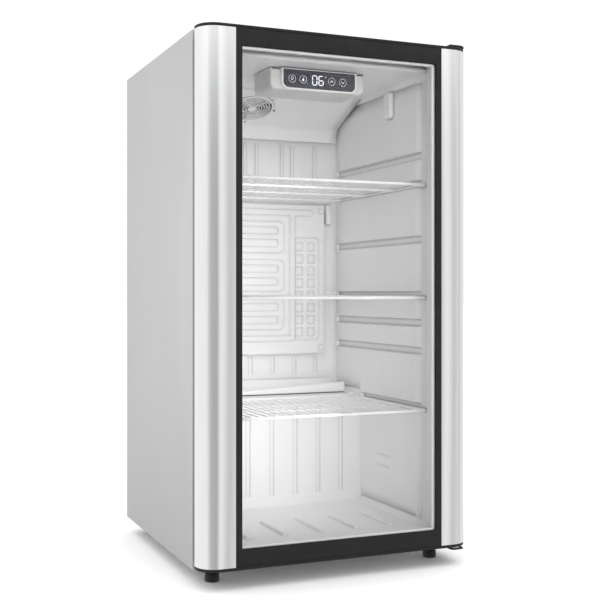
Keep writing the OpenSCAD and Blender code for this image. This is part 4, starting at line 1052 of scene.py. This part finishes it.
piece("fan_cover_moulded", parts, WHITE_ABS, "cabinet", ["fan_cover"], recalc=False,
    sharp=50, wall=-1.6)

# %% Fan grille
def hoop(radius, thick, height=0.0, count=64, sides=8):
    """A torus in the slope's plane: (R + r cos b) round the fan's middle, r sin b above the plane."""
    a = np.linspace(0, 2 * np.pi, count, endpoint=False)[:, None]
    b = np.linspace(0, 2 * np.pi, sides, endpoint=False)[None]
    far = radius + thick * np.cos(b)
    return grid(on_slope(FAN[0] + far * np.cos(a), far * np.sin(a), height + thick * np.sin(b)),
        wrap_rows=True, wrap_columns=True)


grille = [hoop(r, 1.15, -0.6) for r in range(8, 39, 5)] + [hoop(40.5, 1.9, -0.4, sides=12)]
for k in range(4):
    grille += [spoke(k, 0, 40, 1.4, 1.2, 9), spoke(k, 43, 50, -0.6, 2.2, 5, 12)]
grille.append(on_fan(lathe([(0, -0.8), (6.4, -0.8), (7.2, 0), (7.2, 1), (0, 1.4)], (0, 0, 0))))
piece("fan_grille_rings", grille, WHITE_ABS, "cabinet", ["fan_grille"])

# %% Fan blade
ROOT_R, TIP_R = 7, 29
reach, chord = np.meshgrid(np.linspace(ROOT_R, TIP_R, 12), np.linspace(-1, 1, 9), indexing="ij")
out = (reach - ROOT_R) / (TIP_R - ROOT_R)
width, pitch = 5.5 + 2.5 * out, np.radians(32 - 12 * out)
side, lift = chord * width * np.cos(pitch), chord * width * np.sin(pitch) + 0.8 * (1 - chord ** 2)
blades = []
for k in range(6):
    sweep = math.radians(60 * k) + 0.012 * (reach - ROOT_R)
    x = reach * np.cos(sweep) - side * np.sin(sweep)
    y = reach * np.sin(sweep) + side * np.cos(sweep)
    blades.append(grid(on_slope(FAN[0] + x, y, 5.4 + np.clip(lift, -2.6, 2.8))))
piece("fan_blade_vanes", blades, BLACK_ABS, "fan", ["fan_blade"], recalc=False, wall=1.0)
hub = on_fan(lathe([(0, 2.2), (7.6, 2.2), (9, 3.4), (9, 8.2), (0, 8.4)], (0, 0, 0)))
piece("fan_blade_hub", [hub], BLACK_ABS, "fan")

# %% [markdown]
# ## Control box
# The controls sit behind the door's upper edge. The box is one moulding with rounded lower corners, and
# its front carries a smoked panel. The display is seven-segment, and the other signs are plain: a lamp,
# a drop for manual defrost, and two chevrons to raise and lower the set temperature.

# %% Control box and panel
box_low, box_high = sizes("control_box")
pan_low, pan_high = sizes("display_panel")


def tongue(half_x, z, r, steps=8):
    """An outline with a square upper edge and both lower corners turned on quarter circles of radius r."""
    t = np.radians(np.linspace(0, 90, steps + 1))
    right_arc = np.stack([half_x - r + r * np.cos(t), z[0] + r - r * np.sin(t)], axis=-1)
    left_arc = (right_arc * [-1, 1])[::-1]
    return np.concatenate([[(half_x - 0.4, z[1]), (half_x, z[1] - 0.4)], right_arc, left_arc,
        [(-half_x, z[1] - 0.4), (0.4 - half_x, z[1])]])


shell = bar(tongue(box_high[0], (box_low[2], box_high[2]), 10), box_low[1] + 8, box_high[1], 1, 3.5, 5)
piece("control_box_moulded", [shell], GREY_ABS, "cabinet", ["control_box"])
rim_y = pan_low[1] - 0.4
outer = tongue(pan_high[0] + 2.6, (pan_low[2] - 2.6, pan_high[2] + 1.4), 11.5)
inner = tongue(pan_high[0], (pan_low[2], pan_high[2]), 9)
loops = [(0, box_low[1] + 8.4), (0, rim_y + 0.8), (0.25, rim_y), (0.75, rim_y), (1, rim_y + 0.8),
    (1, box_low[1] + 8.4)]
rows = np.array([np.insert(outer * (1 - share) + inner * share, 1, y, axis=1) for share, y in loops])
piece("display_rim", [grid(rows, wrap_rows=True, wrap_columns=True)], WHITE_ABS, "cabinet")
panel = tongue(pan_high[0] - 0.1, (pan_low[2] + 0.1, pan_high[2]), 9)
panel = bar(panel, pan_low[1] + 0.2, pan_high[1], 1, 0.4)
piece("display_window", [panel], SMOKED, "cabinet", ["display_panel"])

# %% Lit signs
SIGN_Y, SEGMENT_T = pan_low[1] + 0.15, 0.65


def flat_ribbon(points, width, closed=False):
    """A flat band along a path in x and z: each point moved half the width to both sides of it."""
    p = np.asarray(points, float)
    ahead = np.roll(p, -1, axis=0) - np.roll(p, 1, axis=0) if closed else np.gradient(p, axis=0)
    normal = unit(np.stack([-ahead[:, 1], ahead[:, 0]], axis=-1))
    rows = np.stack([p - normal * width / 2, p + normal * width / 2], axis=1)
    return grid(np.insert(rows, 1, SIGN_Y, axis=2), wrap_rows=closed)


def circle_line(x, z, r, count=28):
    """Points of a circle about (x, z)."""
    a = np.linspace(0, 2 * np.pi, count, endpoint=False)
    return np.stack([x + r * np.cos(a), z + r * np.sin(a)], axis=-1)


def segment(x, z, half, upright):
    """One bar of a digit: a hexagon, long one way and SEGMENT_T to each side the other way."""
    t = SEGMENT_T
    shape = np.array([(-half, 0), (t - half, t), (half - t, t), (half, 0), (half - t, -t), (t - half, -t)])
    shape = shape[:, ::-1] if upright else shape
    points = shape + [x, z]
    return np.insert(points, 1, SIGN_Y, axis=1), [[0, 1, 2, 3, 4, 5]]


sign_z = (pan_low[2] + pan_high[2]) / 2 - 0.4
BARS = {"a": (0, 7.6, False), "g": (0, 0, False), "d": (0, -7.6, False), "f": (-3.9, 3.8, True),
    "b": (3.9, 3.8, True), "e": (-3.9, -3.8, True), "c": (3.9, -3.8, True)}
signs = [segment(x + BARS[k][0], sign_z + BARS[k][1], 3.3, BARS[k][2])
    for x, lit in ((-9.2, "abcdef"), (2.2, "acdefg")) for k in lit]
BULB_X, DROP_X, UP_X, DOWN_X = -49.5, -30, 21.8, 42.3
circles = [(x, 0, 6.2, 28, 0.28) for x in (BULB_X, DROP_X, UP_X, DOWN_X)]
circles += [(11, 6.6, 0.9, 16, 0.35), (BULB_X, 1, 2.1, 20, 0.4)]
signs += [flat_ribbon(circle_line(x, sign_z + z, r, n), width, True) for x, z, r, n, width in circles]
for x, line, width in (
        (UP_X, [(-2.7, -1.3), (0, 1.8), (2.7, -1.3)], 0.7),
        (DOWN_X, [(-2.7, 1.3), (0, -1.8), (2.7, 1.3)], 0.7),
        (BULB_X, [(-0.9, -2.2), (0.9, -2.2)], 0.6),
        (DROP_X, [(-0.6, 0), (0.4, 2), (1, 3.2)], 0.6)):
    signs.append(flat_ribbon(np.array(line) + [x, sign_z], width))
drop = circle_line(DROP_X, sign_z - 1.0, 1.7, 20)
signs.append((np.insert(drop, 1, SIGN_Y, axis=1), [list(range(len(drop)))]))
piece("display_signs", signs, LIT, "cabinet", wall=0.2, recalc=False)

# %% [markdown]
# ## Lamp cover and probe clip
# Two small mouldings: a frosted cover over the lamp board, and a clip that holds the probe in the air.

# %% Lamp cover and probe clip
lamp_low, lamp_high = sizes("lamp_cover")
middle, half = (lamp_low + lamp_high) / 2, (lamp_high - lamp_low) / 2
dome, faces = pressed(half[2], half[1], 5, (0, 0, 0.5, 1.8, 4.5), (0, 5.5, 7.4, 8.6, 8.9))
dome = np.stack([lamp_high[0] - dome[:, 2], middle[1] + dome[:, 1], middle[2] + dome[:, 0]], axis=-1)
piece("lamp_lens", [(dome, faces)], DIFFUSER, "cabinet", ["lamp_cover"], wall=-1.2)

clip_low, clip_high = sizes("probe_clip")
x0, x1, y0, y1 = clip_low[0], clip_high[0], clip_low[1], clip_high[1]
cup = [(x0, y0 + 3), (x0 + 3, y0), (x1 - 3, y0), (x1, y0 + 3), (x1, y1), (x0, y1)]
clip_parts = [bar(rounded(cup, [1, 1.5, 1.5, 1, 0.5, 0.5], 3), clip_low[2], clip_high[2] - 6, 2, 0.8)]
band = rounded([(x0, y0 + 1), (x1, y0 + 1), (x1, y0 + 7), (x0, y0 + 7)], 0.8, 2)
clip_parts += [bar(band, clip_low[2] + z, clip_low[2] + z + 2, 2, 0.4) for z in (12, 24)]
piece("probe_clip_moulded", clip_parts, WHITE_ABS, "cabinet", ["probe_clip"])

# %% [markdown]
# ## Shelves
# A shelf is a bent rod frame with thinner wires welded across it, front to rear. At the front each wire
# is bent down over the rod, so no sharp end faces the hand. At the rear corners the frame turns up in
# small loops that catch the channel and stop goods from sliding off.

# %% Build the shelves
ROD, WIRE, PITCH = 2.5, 1.25, 15
for name in ("upper", "middle", "lower"):
    low, high = sizes("shelf_" + name)
    w, y0, y1, z = high[0] - ROD, low[1] + ROD, high[1] - ROD, low[2] + ROD
    corners = [(-w, y0, z), (w, y0, z), (w, y1, z), (-w, y1, z)]
    parts = [loop_tube(rounded(corners, 7, 6), ROD)]
    for f in (1 / 3, 2 / 3):
        y = y0 + (y1 - y0) * f
        parts.append(tube([(x, y, z) for x in np.linspace(-w, w, 9)], ROD * 0.8, 10))
    top = z + ROD
    for x in np.arange(-11, 12) * PITCH:
        bent = [(x, y0 - 2.4, z - 0.6), (x, y0 - 2.1, top - 0.3), (x, y0 + 6, top), (x, y1 + 1, top)]
        parts.append(tube(softened(bent, 1.3, 3), WIRE, 7, up=(1.0, 0, 0)))
    for x in (10 - w, 26 - w, w - 26, w - 10):
        arch = [(x - 5, y1, z), (x - 4, y1, z + 10), (x + 4, y1, z + 10), (x + 5, y1, z)]
        parts.append(tube(softened(arch, 3.5, 4), WIRE, 8, up=(0, 1.0, 0)))
    piece(f"shelf_{name}_wire", parts, COATED_WIRE, "shelf_" + name, ["shelf_" + name])

# %% [markdown]
# ## Finishes on the CAD parts
# The parts inside and behind keep their CAD shapes and get their real finishes.

# %% Finishes
finishes = {
    POWDER_COAT: "base_pan", GALVANISED: "back_panel bay_panel rear_grille hinge_bracket_top",
    FERRITE: "gasket_magnets",
    ZINC: "hinge_pin_top hinge_pin_bottom hinge_screws foot_inserts compressor_studs filter_drier",
    FOAM: "foam_insulation", CIRCUIT: "control_board lamp_board",
    COPPER: "condenser_tubes suction_line discharge_line", ENAMEL: "compressor",
    RUBBER: "compressor_grommets cord_gland",
    BLACK_ABS: "start_relay evaporation_pan fan_motor", NYLON: "hinge_washer hinge_bushes",
    WHITE_ABS: "evaporator_standoffs drain_tube", STAINLESS: "temperature_probe",
}
for material, names in finishes.items():
    for name in names.split():
        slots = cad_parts[name].data.materials
        slots.clear()
        slots.append(material)
print("CAD parts with a finish:", sum(len(names.split()) for names in finishes.values()))
